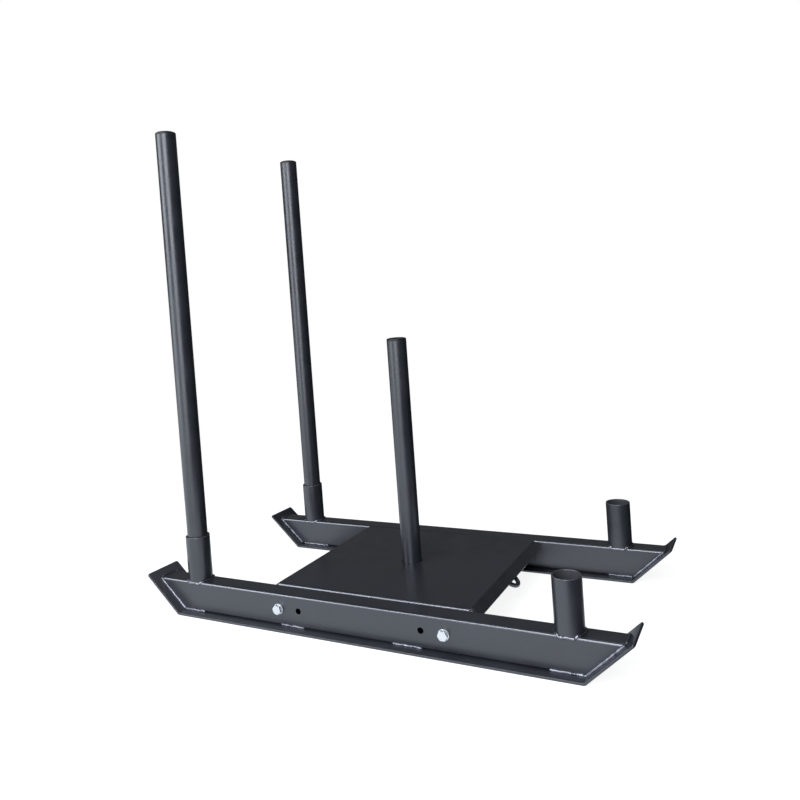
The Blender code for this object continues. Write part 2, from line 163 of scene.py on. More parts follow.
def linear(hex_colour: str) -> tuple[float, float, float, float]:
    """Turn an sRGB hex value into a linear colour, along the sRGB curve.

    Args:
        hex_colour: six hex digits after a hash sign.

    Returns:
        Linear red, green and blue, and an alpha of 1.
    """
    parts = [int(hex_colour[start : start + 2], 16) / 255 for start in (1, 3, 5)]
    red, green, blue = (
        part / 12.92 if part <= 0.04045 else ((part + 0.055) / 1.055) ** 2.4 for part in parts
    )
    return red, green, blue, 1.0


def add_node(tree: NodeTree, kind: str, inputs: Inputs | None = None, **settings: object) -> Node:
    """Add a node with its settings, values and links.

    Args:
        tree: the node tree.
        kind: the node's type.
        inputs: a value, or an output socket to link, for each input by name or number.
        settings: the node's own properties.

    Returns:
        The new node.
    """
    node = tree.nodes.new(kind)
    for name, value in settings.items():
        setattr(node, name, value)
    for key, value in (inputs or {}).items():
        if isinstance(value, NodeSocket):
            tree.links.new(value, node.inputs[key])
        else:
            node.inputs[key].default_value = value
    return node


@dataclass(frozen=True)
class Finish:
    """A surface finish: one colour with soft patches of another, over a faint relief.

    Attributes:
        name: what the finish is, in a maker's words.
        slot: the record's slot that it belongs to. It is not used.
        colour: its usual colour.
        patch_colour: its colour in a patch.
        patch_width: across one patch.
        patch_detail: how ragged the patches are.
        patch_noise: the noise at which a patch starts, and at which it is full.
        roughness: its gloss.
        spread: how much rougher a patch is than that, and how much smoother the rest.
        relief_width: across one bump of the relief.
        relief_depth: how high the bumps are.
        relief_detail: how ragged they are.
    """

    name: str
    slot: Slot
    colour: str
    patch_colour: str
    patch_width: float
    patch_detail: float
    patch_noise: tuple[float, float]
    roughness: float
    spread: float
    relief_width: float
    relief_depth: float
    relief_detail: float

    def material(self) -> Material:
        """Find the finish's material, which is made when it is first asked for.

        Returns:
            The material.
        """
        found = bpy.data.materials.get(self.name)
        if found is None:
            found = bpy.data.materials.new(self.name)
            found.use_nodes = True
            tree = found.node_tree
            tree.nodes.clear()
            place = add_node(tree, "ShaderNodeTexCoord").outputs["Object"]
            patch, colour = self.patches(tree, place)
            inputs = self.surface(tree, patch, colour)
            inputs["Normal"] = self.relief(tree, place)
            shader = add_node(tree, "ShaderNodeBsdfPrincipled", inputs).outputs[0]
            add_node(tree, "ShaderNodeOutputMaterial", {"Surface": shader})
        return found

    def patches(self, tree: NodeTree, place: NodeSocket) -> tuple[NodeSocket, NodeSocket]:
        """Spread the finish's two colours in patches.

        Args:
            tree: the material's tree.
            place: the point's place on the object.

        Returns:
            How deep inside a patch the point lies, from 0 to 1, and its colour.
        """
        drift = {"Vector": place, "Scale": 1 / self.patch_width, "Detail": self.patch_detail}
        drift = add_node(tree, "ShaderNodeTexNoise", drift).outputs["Fac"]
        start, full = self.patch_noise
        depth = {"Value": drift, "From Min": start, "From Max": full}
        depth = add_node(tree, "ShaderNodeMapRange", depth).outputs[0]
        colours = {"Factor": depth, COLOUR_A: linear(self.colour), COLOUR_B: linear(self.patch_colour)}
        return depth, add_node(tree, "ShaderNodeMix", colours, data_type="RGBA").outputs[MIXED_COLOUR]

    def relief(self, tree: NodeTree, place: NodeSocket) -> NodeSocket:
        """Give the surface its relief.

        Args:
            tree: the material's tree.
            place: the point's place on the object.

        Returns:
            The surface's normal.
        """
        grain = {"Vector": place, "Scale": 1 / self.relief_width, "Detail": self.relief_detail}
        grain = add_node(tree, "ShaderNodeTexNoise", grain).outputs["Fac"]
        bump = {"Strength": 1.0, "Distance": self.relief_depth, "Height": grain}
        return add_node(tree, "ShaderNodeBump", bump).outputs[0]

    def surface(self, tree: NodeTree, patch: NodeSocket, colour: NodeSocket) -> Inputs:
        """Work out what the shader takes for colour and gloss. Without a spread the gloss is a plain number.

        Args:
            tree: the material's tree.
            patch: how deep inside a patch the point lies, from 0 to 1.
            colour: its colour.

        Returns:
            The shader's inputs.
        """
        inputs: Inputs = {"Base Color": colour, "Roughness": self.roughness}
        if self.spread:
            gloss = {
                "Value": patch,
                "To Min": self.roughness - self.spread,
                "To Max": self.roughness + self.spread,
            }
            inputs["Roughness"] = add_node(tree, "ShaderNodeMapRange", gloss).outputs[0]
        return inputs


@dataclass(frozen=True)
class PowderCoat(Finish):
    """Polyester powder coat, sprayed dry on steel and baked: satin, with a faint orange peel.

    Its patches are where the coat is a little thicker, and its relief is the orange peel. The real peel is
    about 1 mm across, and it is drawn coarser because a pixel is about 2 mm.

    Attributes:
        shine: how far the coat mirrors as metal does.
        density: the resin's index of refraction, which sets how strongly it mirrors.
    """

    colour: str = "#25282d"
    patch_colour: str = "#2a2d33"
    patch_width: float = 0.06
    patch_detail: float = 3.0
    patch_noise: tuple[float, float] = USUAL_NOISE
    roughness: float = 0.33
    spread: float = 0.05
    relief_width: float = 0.003
    relief_depth: float = 0.00006
    relief_detail: float = 1.0
    shine: float = 0.0
    density: float = 1.75

    def surface(self, tree: NodeTree, patch: NodeSocket, colour: NodeSocket) -> Inputs:
        """Add the coat's shine and density, which are the same all over."""
        return super().surface(tree, patch, colour) | {"Metallic": self.shine, "IOR": self.density}


@dataclass(frozen=True)
class EdgeWornCoat(PowderCoat):
    """Powder coat that is thin over rounded edges, where the steel shines through it.

    Attributes:
        edge_colour: the colour of the light that it mirrors there.
        edge_shine: how far it mirrors as metal does there.
        edge_roughness: its gloss there.
    """

    edge_colour: str = "#7b7c80"
    edge_shine: float = 0.85
    edge_roughness: float = 0.34

    def surface(self, tree: NodeTree, patch: NodeSocket, colour: NodeSocket) -> Inputs:
        """Mix the coat with its thin places, which the pieces' faces mark.

        Args:
            tree: the material's tree.
            patch: how deep inside a patch the point lies, from 0 to 1.
            colour: its colour.

        Returns:
            The shader's inputs.
        """
        inputs = super().surface(tree, patch, colour)
        edge = add_node(tree, "ShaderNodeAttribute", attribute_name=EDGE_ATTRIBUTE).outputs["Fac"]
        colours = {"Factor": edge, COLOUR_A: colour, COLOUR_B: linear(self.edge_colour)}
        mixed = add_node(tree, "ShaderNodeMix", colours, data_type="RGBA")
        inputs["Base Color"] = mixed.outputs[MIXED_COLOUR]
        for name, worn in (("Metallic", self.edge_shine), ("Roughness", self.edge_roughness)):
            values = {"Factor": edge, VALUE_A: inputs[name], VALUE_B: worn}
            inputs[name] = add_node(tree, "ShaderNodeMix", values, data_type="FLOAT").outputs[0]
        return inputs


@dataclass(frozen=True)
class ZincPlate(Finish):
    """Bright zinc plate on cold-formed steel: pale, with a soft metal gloss and faint grey patches.

    Its patches are duller plate, and its relief is the plate's grain. The real grain is too fine to show, and
    it is drawn coarser.
    """

    colour: str = "#eceeef"
    patch_colour: str = "#d9dbdd"
    patch_width: float = 0.008
    patch_detail: float = 2.0
    patch_noise: tuple[float, float] = WHOLE_NOISE
    roughness: float = 0.42
    spread: float = 0.06
    relief_width: float = 0.0012
    relief_depth: float = 0.00002
    relief_detail: float = 1.0

    def surface(self, tree: NodeTree, patch: NodeSocket, colour: NodeSocket) -> Inputs:
        """Make it a metal all over."""
        return super().surface(tree, patch, colour) | {"Metallic": 1.0}


@dataclass(frozen=True)
class MouldedPolyethylene(Finish):
    """Black polyethylene from a spark-eroded mould: matt, with a fine even grain.

    Its patches are faint scuffs, and its relief is the mould's grain. The real grain is about 0.3 mm across,
    and it is drawn coarser to show.

    Attributes:
        density: the plastic's index of refraction.
    """

    colour: str = "#18191a"
    patch_colour: str = "#232425"
    patch_width: float = 0.012
    patch_detail: float = 4.0
    patch_noise: tuple[float, float] = WHOLE_NOISE
    roughness: float = 0.5
    spread: float = 0.0
    relief_width: float = 0.0015
    relief_depth: float = 0.00002
    relief_detail: float = 2.0
    density: float = 1.5

    def surface(self, tree: NodeTree, patch: NodeSocket, colour: NodeSocket) -> Inputs:
        """Add the plastic's density, which is the same all over."""
        return super().surface(tree, patch, colour) | {"IOR": self.density}


# On the frame's steel, the poles and the post.
COAT = EdgeWornCoat("satin_black_powder_coat", Slot.POWDER_COAT)
# On the beads along the skids, up the mitres and under the deck: burnished all over to a dull metal shine.
COAT_ON_WELD = PowderCoat(
    "burnished_powder_coat_over_weld",
    Slot.POWDER_COAT,
    colour="#686a73",
    patch_colour="#a0a1ab",
    patch_width=0.014,
    roughness=0.32,
    relief_width=0.004,
    relief_depth=0.0003,
    shine=0.85,
)
# On the beads at the sockets' feet and across the mitres' tops: black, and burnished where it is marked thin.
COAT_ON_FOOT_WELD = EdgeWornCoat(
    "powder_coat_over_foot_weld",
    Slot.POWDER_COAT,
    patch_width=0.009,
    relief_width=0.004,
    relief_depth=0.0005,
    edge_colour="#8f9096",
    edge_roughness=0.3,
)
ZINC = ZincPlate("bright_zinc_plate", Slot.ZINC_PLATE)
CAP_PLASTIC = MouldedPolyethylene("moulded_black_polyethylene", Slot.CAP_PLASTIC)


# Shaping


def box_middle(node: str) -> Vector:
    """The middle of a CAD node's box."""
    low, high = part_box(node)
    return (low + high) / 2


def only_edges(geometry: Iterable) -> list[BMEdge]:
    """The edges among some geometry."""
    return [item for item in geometry if isinstance(item, BMEdge)]


def only_verts(geometry: Iterable) -> list[BMVert]:
    """The vertices among some geometry."""
    return [item for item in geometry if isinstance(item, BMVert)]


def sharp_edges(bm: BMesh) -> list[BMEdge]:
    """The edges of a solid at which its faces turn sharply."""
    return [edge for edge in bm.edges if edge.is_manifold and edge.calc_face_angle() > SHARP_ANGLE]


def add_piece(name: str, bm: BMesh, finish: Finish, body: Body, replaces: Sequence[str] = ()) -> Object:
    """Make a finished piece from a bmesh, which is then freed.

    Args:
        name: the piece's name.
        bm: its shape, in place.
        finish: what it is coated with.
        body: the body that it rides on.
        replaces: the CAD nodes that it stands for.

    Returns:
        The piece's object.
    """
    mesh = bpy.data.meshes.new(name)
    bm.to_mesh(mesh)
    bm.free()
    mesh.materials.append(finish.material())
    mesh.shade_smooth()
    mesh.set_sharp_from_angle(angle=SHARP_ANGLE)
    piece = bpy.data.objects.new(name, mesh)
    bpy.context.scene.collection.objects.link(piece)
    flats = piece.modifiers.new("flat_faces", "WEIGHTED_NORMAL")
    flats.keep_sharp = True
    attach(piece, body.value)
    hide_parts(*replaces)
    return piece


def merge(bm: BMesh, part: BMesh) -> None:
    """Add one shape to another.

    Args:
        bm: the shape that grows.
        part: the shape to add, which is freed.
    """
    mesh = bpy.data.meshes.new("merged_part")
    part.to_mesh(mesh)
    part.free()
    bm.from_mesh(mesh)
    bpy.data.meshes.remove(mesh)


def wear_layer(bm: BMesh) -> BMLayerItem:
    """The face layer that tells how thin the coat is, from 0 to 1."""
    return bm.faces.layers.float.get(EDGE_ATTRIBUTE) or bm.faces.layers.float.new(EDGE_ATTRIBUTE)


def wear_upper_corners(bm: BMesh) -> None:
    """Mark the outer half of the rounded corners along the top of a shape, where the coat is thin.

    Args:
        bm: the shape, its length along X.
    """
    mark = wear_layer(bm)
    for face in bm.faces:
        if abs(face.normal.x) < LEVEL and WORN_FROM < face.normal.z < abs(face.normal.y):
            face[mark] = 1.0


def round_off(
    bm: BMesh, geometry: Sequence, width: float, segments: int, rounding: Rounding
) -> list[BMFace]:
    """Round some edges or corners evenly.

    Args:
        bm: the shape.
        geometry: the edges, or the corners' vertices.
        width: how far back from them the rounding starts.
        segments: faces across the rounding.
        rounding: which of the two they are.

    Returns:
        The faces that this makes.
    """
    return bmesh.ops.bevel(
        bm,
        geom=geometry,
        offset=width,
        offset_type="OFFSET",
        segments=segments,
        profile=0.5,
        affect=rounding.value,
        clamp_overlap=True,
        material=-1,
    )["faces"]


def soften(bm: BMesh, width: float, segments: int = 3, wear: float = 1.0) -> None:
    """Round every sharp edge and mark the faces that this makes, where the coat is thin.

    Args:
        bm: the solid.
        width: how far back from the edge the rounding starts.
        segments: faces across the rounding.
        wear: how thin the coat is there, from 0 to 1.
    """
    mark = wear_layer(bm)
    for face in round_off(bm, sharp_edges(bm), width, segments, Rounding.EDGES):
        face[mark] = wear


def turned(profile: Sequence[tuple[float, float]], steps: int = TUBE_STEPS, ring: bool = True) -> BMesh:
    """Turn a profile about Z.

    Args:
        profile: radius and height of each point.
        steps: faces round the shape.
        ring: whether the profile closes on itself, as a tube wall does.

    Returns:
        The turned shape.
    """
    bm = bmesh.new()
    verts = [bm.verts.new((radius, 0, height)) for radius, height in profile]
    pairs = list(zip(verts, verts[1:]))
    if ring:
        pairs.append((verts[-1], verts[0]))
    edges = [bm.edges.new(pair) for pair in pairs]
    bmesh.ops.spin(
        bm,
        geom=verts + edges,
        cent=(0, 0, 0),
        axis=(0, 0, 1),
        dvec=(0, 0, 0),
        angle=math.tau,
        steps=steps,
        use_merge=True,
    )
    bmesh.ops.remove_doubles(bm, verts=bm.verts, dist=MERGE_DISTANCE)
    bmesh.ops.recalc_face_normals(bm, faces=bm.faces)
    return bm


def round_tube(node: str, bore: float) -> BMesh:
    """Make a round tube in the place of an upright CAD tube.

    Args:
        node: the CAD node.
        bore: the tube's inside diameter.

    Returns:
        The tube.
    """
    low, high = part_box(node)
    outer = (high.x - low.x) / 2
    bm = turned([(outer, low.z), (outer, high.z), (bore / 2, high.z), (bore / 2, low.z)])
    middle = box_middle(node)
    bmesh.ops.translate(bm, verts=bm.verts, vec=(middle.x, middle.y, 0))
    return bm


def add_bar(bm: BMesh, radius: float, length: float, place: Matrix, steps: int = SMALL_STEPS) -> None:
    """Add a straight bar with flat ends.

    Args:
        bm: where it goes.
        radius: from its middle to its corners.
        length: how long it is.
        place: turns and moves it from the origin, about which it is made along Z.
        steps: faces round it.
    """
    bmesh.ops.create_cone(
        bm, cap_ends=True, segments=steps, radius1=radius, radius2=radius, depth=length, matrix=place
    )


def saw(bm: BMesh, point: Sequence[float], outward: Sequence[float]) -> list[BMEdge]:
    """Saw a shape along a plane and take off what lies outside it.

    Args:
        bm: the shape.
        point: a point on the plane.
        outward: across the plane, towards what comes off.

    Returns:
        The edges along the cut, which stays open.
    """
    cut = bmesh.ops.bisect_plane(
        bm,
        geom=bm.verts[:] + bm.edges[:] + bm.faces[:],
        dist=MERGE_DISTANCE,
        plane_co=point,
        plane_no=outward,
        clear_outer=True,
    )
    return only_edges(cut["geom_cut"])


def carve(bm: BMesh, tool: BMesh, carving: Carving) -> BMesh:
    """Carve one closed solid with another.

    Args:
        bm: the solid, which is freed.
        tool: the tool's solid, which is freed.
        carving: what to keep.

    Returns:
        The carved solid.
    """
    objects = []
    for name, shape in (("carved", bm), ("carving_tool", tool)):
        mesh = bpy.data.meshes.new(name)
        shape.to_mesh(mesh)
        shape.free()
        objects.append(bpy.data.objects.new(name, mesh))
        bpy.context.scene.collection.objects.link(objects[-1])
    modifier = objects[0].modifiers.new("carve", "BOOLEAN")
    modifier.operation = carving.value
    modifier.solver = "EXACT"
    modifier.object = objects[1]
    bpy.context.view_layer.update()
    evaluated = objects[0].evaluated_get(bpy.context.evaluated_depsgraph_get())
    carved = bmesh.new()
    carved.from_mesh(evaluated.to_mesh())
    for obj in objects:
        mesh = obj.data
        bpy.data.objects.remove(obj)
        bpy.data.meshes.remove(mesh)
    bmesh.ops.remove_doubles(carved, verts=carved.verts, dist=MERGE_DISTANCE)
    return carved


def drill_bits(holes: Iterable[Hole], depth: float) -> BMesh:
    """Make the cutters for several round holes.

    Args:
        holes: the holes.
        depth: length of each cutter.

    Returns:
        All the cutters together.
    """
    bm = bmesh.new()
    for middle, axis, radius in holes:
        turn = axis.to_track_quat("Z", "Y").to_matrix().to_4x4()
        add_bar(bm, radius, depth, Matrix.Translation(middle) @ turn)
    return bm


def flat_sheet(length: float, width: float, rows: int = 1) -> BMesh:
    """Make a flat sheet in the XY plane.

    Args:
        length: its size along X.
        width: its size along Y.
        rows: faces across its width.

    Returns:
        The sheet.
    """
    bm = bmesh.new()
    # A grid of size 0.5 is 1 across.
    bmesh.ops.create_grid(bm, x_segments=1, y_segments=rows, size=0.5)
    bmesh.ops.scale(bm, verts=bm.verts, vec=(length, width, 1))
    return bm


def border(bm: BMesh, axis: int, value: float, reach: float = math.inf) -> list[BMEdge]:
    """Find a sheet's border edges that lie along a line.

    Args:
        bm: the sheet.
        axis: 0 where the line has one X, 1 where it has one Y.
        value: that X or Y.
        reach: how far from the middle the edges may lie, along the line.

    Returns:
        The edges.
    """
    return [
        edge
        for edge in bm.edges
        if edge.is_boundary
        and all(abs(vert.co[axis] - value) < EDGE_TOLERANCE for vert in edge.verts)
        and all(abs(vert.co[1 - axis]) < reach for vert in edge.verts)
    ]


def fold(
    bm: BMesh,
    edges: Sequence[BMEdge],
    centre: Vector,
    axis: Vector,
    angle: float,
    leg: Vector,
) -> list[BMVert]:
    """Bend a sheet on from some edges, then carry it straight on.

    Args:
        bm: the sheet.
        edges: where the bend starts.
        centre: a point on the bend's axis.
        axis: the bend's axis.
        angle: how far it bends.
        leg: the straight part after the bend.

    Returns:
        The sheet's new end vertices.
    """
    bent = bmesh.ops.spin(
        bm, geom=list(edges), cent=centre, axis=axis, dvec=(0, 0, 0), angle=angle, steps=BEND_STEPS
    )
    grown = bmesh.ops.extrude_edge_only(bm, edges=only_edges(bent["geom_last"]))
    ends = only_verts(grown["geom"])
    bmesh.ops.translate(bm, verts=ends, vec=leg)
    return ends


def thicken(bm: BMesh, thickness: float) -> None:
    """Give a sheet its thickness below its upper face.

    Args:
        bm: the sheet.
        thickness: how thick it is.
    """
    bmesh.ops.recalc_face_normals(bm, faces=bm.faces)
    widest = max(bm.faces, key=lambda face: face.calc_area())
    if widest.normal.z < 0:
        bmesh.ops.reverse_faces(bm, faces=bm.faces)
    bmesh.ops.solidify(bm, geom=bm.faces[:], thickness=thickness)


def extrude_loop(bm: BMesh, edges: Sequence[BMEdge]) -> tuple[list[BMVert], list[BMEdge]]:
    """Extrude a closed loop of edges on the spot.

    Args:
        bm: the shape.
        edges: the loop.

    Returns:
        The new loop's vertices and its edges.
    """
    grown = bmesh.ops.extrude_edge_only(bm, edges=edges)["geom"]
    verts = only_verts(grown)
    fresh = set(verts)
    return verts, [edge for edge in only_edges(grown) if fresh.issuperset(edge.verts)]


# Welds


def weld_points(start: Vector, stop: Vector) -> list[Vector]:
    """Divide a straight line as closely as a weld needs.

    Args:
        start: its first point.
        stop: its last point.

    Returns:
        Points from start to stop, both included.
    """
    count = max(2, math.ceil((stop - start).length / WELD_POINT_SPACING))
    return [start.lerp(stop, step / count) for step in range(count + 1)]


def weld_angles(reach: float) -> list[float]:
    """Divide a circle as closely as a weld needs, and go on a little past its start.

    Args:
        reach: the circle's radius.

    Returns:
        Angles from 0 to a little over a full turn.
    """
    count = math.ceil(math.tau * reach / WELD_POINT_SPACING)
    return [math.tau * step / count for step in range(count + WELD_OVERLAP_POINTS)]


@dataclass
class WeldBead:
    """A run of weld along a path, with the ripples and uneven width that a welder by hand leaves.

    Attributes:
        radius: half the bead's width.
        seed: picks the bead's own unevenness.
        ripple_pitch: from one ripple to the next. The real ones are about 2 mm apart, and they are drawn
            coarser to show.
        ripple_share: how much a ripple narrows the bead.
        wander_share: how much the width wanders.
        sway_share: how far the bead's middle sways, as a share of its radius.
        wander_length: how far apart the bead's wide and narrow places are.
        taper_length: how far its ends taper.
        least_taper: how much of the width is left at its very ends, squared.
        steps: faces round the bead.
    """

    radius: float
    seed: float
    ripple_pitch: float = 0.0042
    ripple_share: float = 0.18
    wander_share: float = 0.35
    sway_share: float = 0.25
    wander_length: float = 0.011
    taper_length: float = 0.003
    least_taper: float = 0.02
    steps: int = 12

    def width_at(self, along: float, length: float) -> float:
        """Find the bead's radius at a distance along it.

        Args:
            along: distance from its start.
            length: the whole bead's length.

        Returns:
            The radius there.
        """
        phase = (along / self.ripple_pitch) % 1.0
        ripple = 1 - self.ripple_share * phase
        wander = 1 + self.wander_share * noise.noise(Vector((along / self.wander_length, self.seed, 0)))
        from_end = min(along, length - along) / self.taper_length
        taper = math.sqrt(min(1.0, max(self.least_taper, from_end)))
        return self.radius * ripple * wander * taper

    def places(self, path: Sequence[Vector]) -> list[Matrix]:
        """Find where the bead's section goes along its path.

        Args:
            path: close points along it.

        Returns:
            For each point, a matrix that turns and scales a unit circle into the section.
        """
        lengths = [0.0]
        for here, there in zip(path, path[1:]):
            lengths.append(lengths[-1] + (there - here).length)
        found = []
        for index, point in enumerate(path):
            ahead = path[min(index + 1, len(path) - 1)]
            behind = path[max(index - 1, 0)]
            turn = (ahead - behind).to_track_quat("Z", "Y").to_matrix().to_4x4()
            width = self.width_at(lengths[index], lengths[-1])
            sway = noise.noise_vector(Vector((lengths[index] / self.wander_length, 0, self.seed)))
            middle = point + sway * self.radius * self.sway_share
            found.append(Matrix.Translation(middle) @ turn @ Matrix.Scale(width, 4))
        return found

    def lay(self, bm: BMesh, path: Sequence[Vector]) -> None:
        """Add the bead to a bmesh.

        Args:
            bm: where the bead goes.
            path: close points along it.
        """
        places = self.places(path)
        bead = bmesh.new()
        bmesh.ops.create_circle(bead, cap_ends=True, segments=self.steps, radius=1.0, matrix=places[0])
        edges = bead.edges[:]
        for before, after in zip(places, places[1:]):
            verts, edges = extrude_loop(bead, edges)
            bmesh.ops.transform(bead, matrix=after @ before.inverted(), verts=verts)
        bmesh.ops.edgeloop_fill(bead, edges=edges)
        bmesh.ops.recalc_face_normals(bead, faces=bead.faces)
        merge(bm, bead)


# Sub-assemblies


@dataclass(frozen=True)
class Drilling:
    """The bolt holes across a runner and the deck's side flange, each with a plain hole beside it.

    Attributes:
        radius: of every hole.
        plain_offset: from a bolt hole to its plain hole, towards the sled's middle.
    """

    radius: float = 0.007
    plain_offset: float = 0.052

    def holes(self, side: Side, across: float) -> list[Hole]:
        """Find one side's holes.

        Args:
            side: the sled's side.
            across: the Y of the holes' middles.

        Returns:
            The holes.
        """
        found = []
        for end in End:
            bolt = box_middle(f"{side.word}_{end.word}_bolt")
            for offset in (0, self.plain_offset):
                place = Vector((bolt.x - end.value * offset, across, bolt.z))
                found.append((place, Vector((0, 1, 0)), self.radius))
        return found


@dataclass
class Runner:
    """A runner: a mitred rectangular tube on a skid bent up at both ends, and two pole sockets, all welded.

    Attributes:
        side: which of the two it is.
        drilling: the holes across it.
        tube_wall: wall of the rectangular tube.
        tube_corner: its outer corner radius.
        mitre: slope of its ends.
        skid_thickness: thickness of the skid's flat bar.
        skid_bend: inner radius of the skid's bends.
        tip_corner: radius of the skid's four corners.
        socket_bore: inside diameter of a socket.
        socket_rim: rounding of a socket's rim.
        cut_edge: rounding of sawn and sheared edges.
        outer_stitches: where the welds along the tube's outer foot start and stop.
        inner_stitches: the same along its inner foot.
        stitch_radius: half the width of those welds.
        stitch_inset: how far their middle lies inside the tube's face.
        stitch_rise: how far their middle lies above the skid.
        mitre_radius: half the width of the welds round the mitred ends.
        mitre_start: how far up the mitre those start.
        climb_ripple: how much a ripple narrows those up the mitre, which are smoother than the others.
        climb_wander: how much their width wanders.
        climb_sway: how far their middle sways, as a share of their radius.
        foot_radius: half the width of the welds round the sockets.
        foot_reach: how far their middle lies outside the socket.
        foot_drop: how far they drop over the tube's rounded corners.
        cut_wear: how thin the coat is over sawn edges of the tube.
        skid_wear: how thin it is over the skid's edges.
        rim_wear: how thin it is over a socket's rim.
        bore_wear: how thin it is inside a socket, where sprayed powder hardly reaches.
    """

    side: Side
    drilling: Drilling = Drilling()
    tube_wall: float = 0.003
    tube_corner: float = 0.005
    mitre: float = math.radians(43)
    skid_thickness: float = 0.005
    skid_bend: float = 0.004
    tip_corner: float = 0.005
    socket_bore: float = 0.050
    socket_rim: float = 0.0012
    cut_edge: float = 0.0010
    outer_stitches: tuple[tuple[float, float], ...] = (
        (-0.486, -0.421),
        (-0.199, -0.135),
        (0.083, 0.154),
        (0.413, 0.485),
    )
    inner_stitches: tuple[tuple[float, float], ...] = (
        (-0.477, -0.391),
        (-0.190, -0.128),
        (0.096, 0.160),
        (0.421, 0.481),
    )
    stitch_radius: float = 0.0036
    stitch_inset: float = 0.0004
    stitch_rise: float = 0.0014
    mitre_radius: float = 0.0036
    mitre_start: float = 0.001
    climb_ripple: float = 0.1
    climb_wander: float = 0.2
    climb_sway: float = 0.1
    foot_radius: float = 0.0034
    foot_reach: float = 0.0008
    foot_drop: float = 0.003
    cut_wear: float = 1.0
    skid_wear: float = 0.25
    rim_wear: float = 0.6
    bore_wear: float = 0.5

    def label(self, name: str) -> str:
        """A name with this runner's side before it, as CAD nodes and pieces have it."""
        return f"{self.side.word}_{name}"

    def build(self) -> list[Object]:
        """Build the runner's pieces.

        Returns:
            The pieces' objects.
        """
        pieces = [self.build_tube(), self.build_skid()]
        pieces += [self.build_socket(end) for end in End]
        pieces += [self.build_skid_welds(), self.build_upper_welds()]
        return pieces

    def build_tube(self) -> Object:
        """Build the rectangular tube, with rounded corners and mitred ends, drilled across.

        Returns:
            The tube's object.
        """
        node = self.label("runner_tube")
        low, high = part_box(node)
        size = high - low
        middle = (low + high) / 2
        bm = flat_sheet(size.y, size.z)
        round_off(bm, bm.verts[:], self.tube_corner, CORNER_STEPS, Rounding.CORNERS)
        outline = bm.faces[:]
        # Stands the sheet on end: its X turns into Y and its Y into Z.
        upright = Matrix(((0, 0, 1, 0), (1, 0, 0, 0), (0, 1, 0, 0), (0, 0, 0, 1)))
        bmesh.ops.transform(bm, matrix=upright, verts=bm.verts)
        bmesh.ops.translate(bm, verts=bm.verts, vec=(low.x, middle.y, middle.z))
        far_end = only_verts(bmesh.ops.extrude_edge_only(bm, edges=bm.edges[:])["geom"])
        bmesh.ops.translate(bm, verts=far_end, vec=(size.x, 0, 0))
        bmesh.ops.delete(bm, geom=outline, context="FACES_ONLY")
        bmesh.ops.recalc_face_normals(bm, faces=bm.faces)
        outward = bm.faces[0].calc_center_median() - middle
        outward.x = 0
        if bm.faces[0].normal.dot(outward) < 0:
            bmesh.ops.reverse_faces(bm, faces=bm.faces)
        bmesh.ops.solidify(bm, geom=bm.faces[:], thickness=self.tube_wall)
        for end in End:
            away = Vector((end.value * math.sin(self.mitre), 0, -math.cos(self.mitre)))
            loops = saw(bm, self.mitre_foot(end, 0), away)
            bmesh.ops.bridge_loops(bm, edges=loops)
        holes = self.drilling.holes(self.side, middle.y)
        bm = carve(bm, drill_bits(holes, 2 * size.y), Carving.CUT)
        wear_upper_corners(bm)
        soften(bm, self.cut_edge, wear=self.cut_wear)
        return add_piece(self.label("runner_rail"), bm, COAT, Body.FRAME, [node])

    def mitre_foot(self, end: End, across: float) -> Vector:
        """Find a point on the line where a mitre of the tube meets the skid's flat.

        Args:
            end: which end.
            across: the point's Y.

        Returns:
            The point.
        """
        low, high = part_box(self.label("runner_tube"))
        return Vector((end.value * (high.x - (high.z - low.z) / math.tan(self.mitre)), across, low.z))

    def bend_tangent(self) -> float:
        """How far a bend of the skid starts before the corner that it would be without a radius."""
        return self.skid_bend * math.tan(self.mitre / 2)

    def bend_start(self) -> float:
        """Find where the skid's bends start.

        Returns:
            Their distance from the sled's middle, along X.
        """
        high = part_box(self.label("skid_plate"))[1]
        rise = high.z - self.skid_thickness
        corner = high.x - self.skid_thickness * math.sin(self.mitre) - rise / math.tan(self.mitre)
        return corner - self.bend_tangent()

    def build_skid(self) -> Object:
        """Build the skid, a flat bar bent up at both ends, its corners rounded.

        Returns:
            The skid's object.
        """
        node = self.label("skid_plate")
        low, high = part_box(node)
        start = self.bend_start()
        leg = (high.z - self.skid_thickness) / math.sin(self.mitre) - self.bend_tangent()
        bm = flat_sheet(2 * start, high.y - low.y)
        bmesh.ops.translate(bm, verts=bm.verts, vec=(0, (low.y + high.y) / 2, self.skid_thickness))
        tips = []
        for end in End:
            centre = Vector((end.value * start, 0, self.skid_thickness + self.skid_bend))
            run = Vector((end.value * leg * math.cos(self.mitre), 0, leg * math.sin(self.mitre)))
            edges = border(bm, 0, end.value * start)
            tips += fold(bm, edges, centre, Vector((0, 1, 0)), -end.value * self.mitre, run)
        round_off(bm, tips, self.tip_corner, CORNER_STEPS, Rounding.CORNERS)
        thicken(bm, self.skid_thickness)
        soften(bm, self.cut_edge, wear=self.skid_wear)
        return add_piece(self.label("skid_bar"), bm, COAT, Body.FRAME, [node])

    def build_socket(self, end: End) -> Object:
        """Build one pole socket, a short round tube with a rounded rim.

        Args:
            end: which of the two.

        Returns:
            The socket's object.
        """
        node = self.label(end.word + "_socket")
        bm = round_tube(node, self.socket_bore)
        middle = box_middle(node)
        mark = wear_layer(bm)
        for face in bm.faces:
            if face.normal.dot(face.calc_center_median() - middle) < 0:
                face[mark] = self.bore_wear
        soften(bm, self.socket_rim, wear=self.rim_wear)
        return add_piece(self.label(end.word + "_pole_socket"), bm, COAT, Body.FRAME, [node])

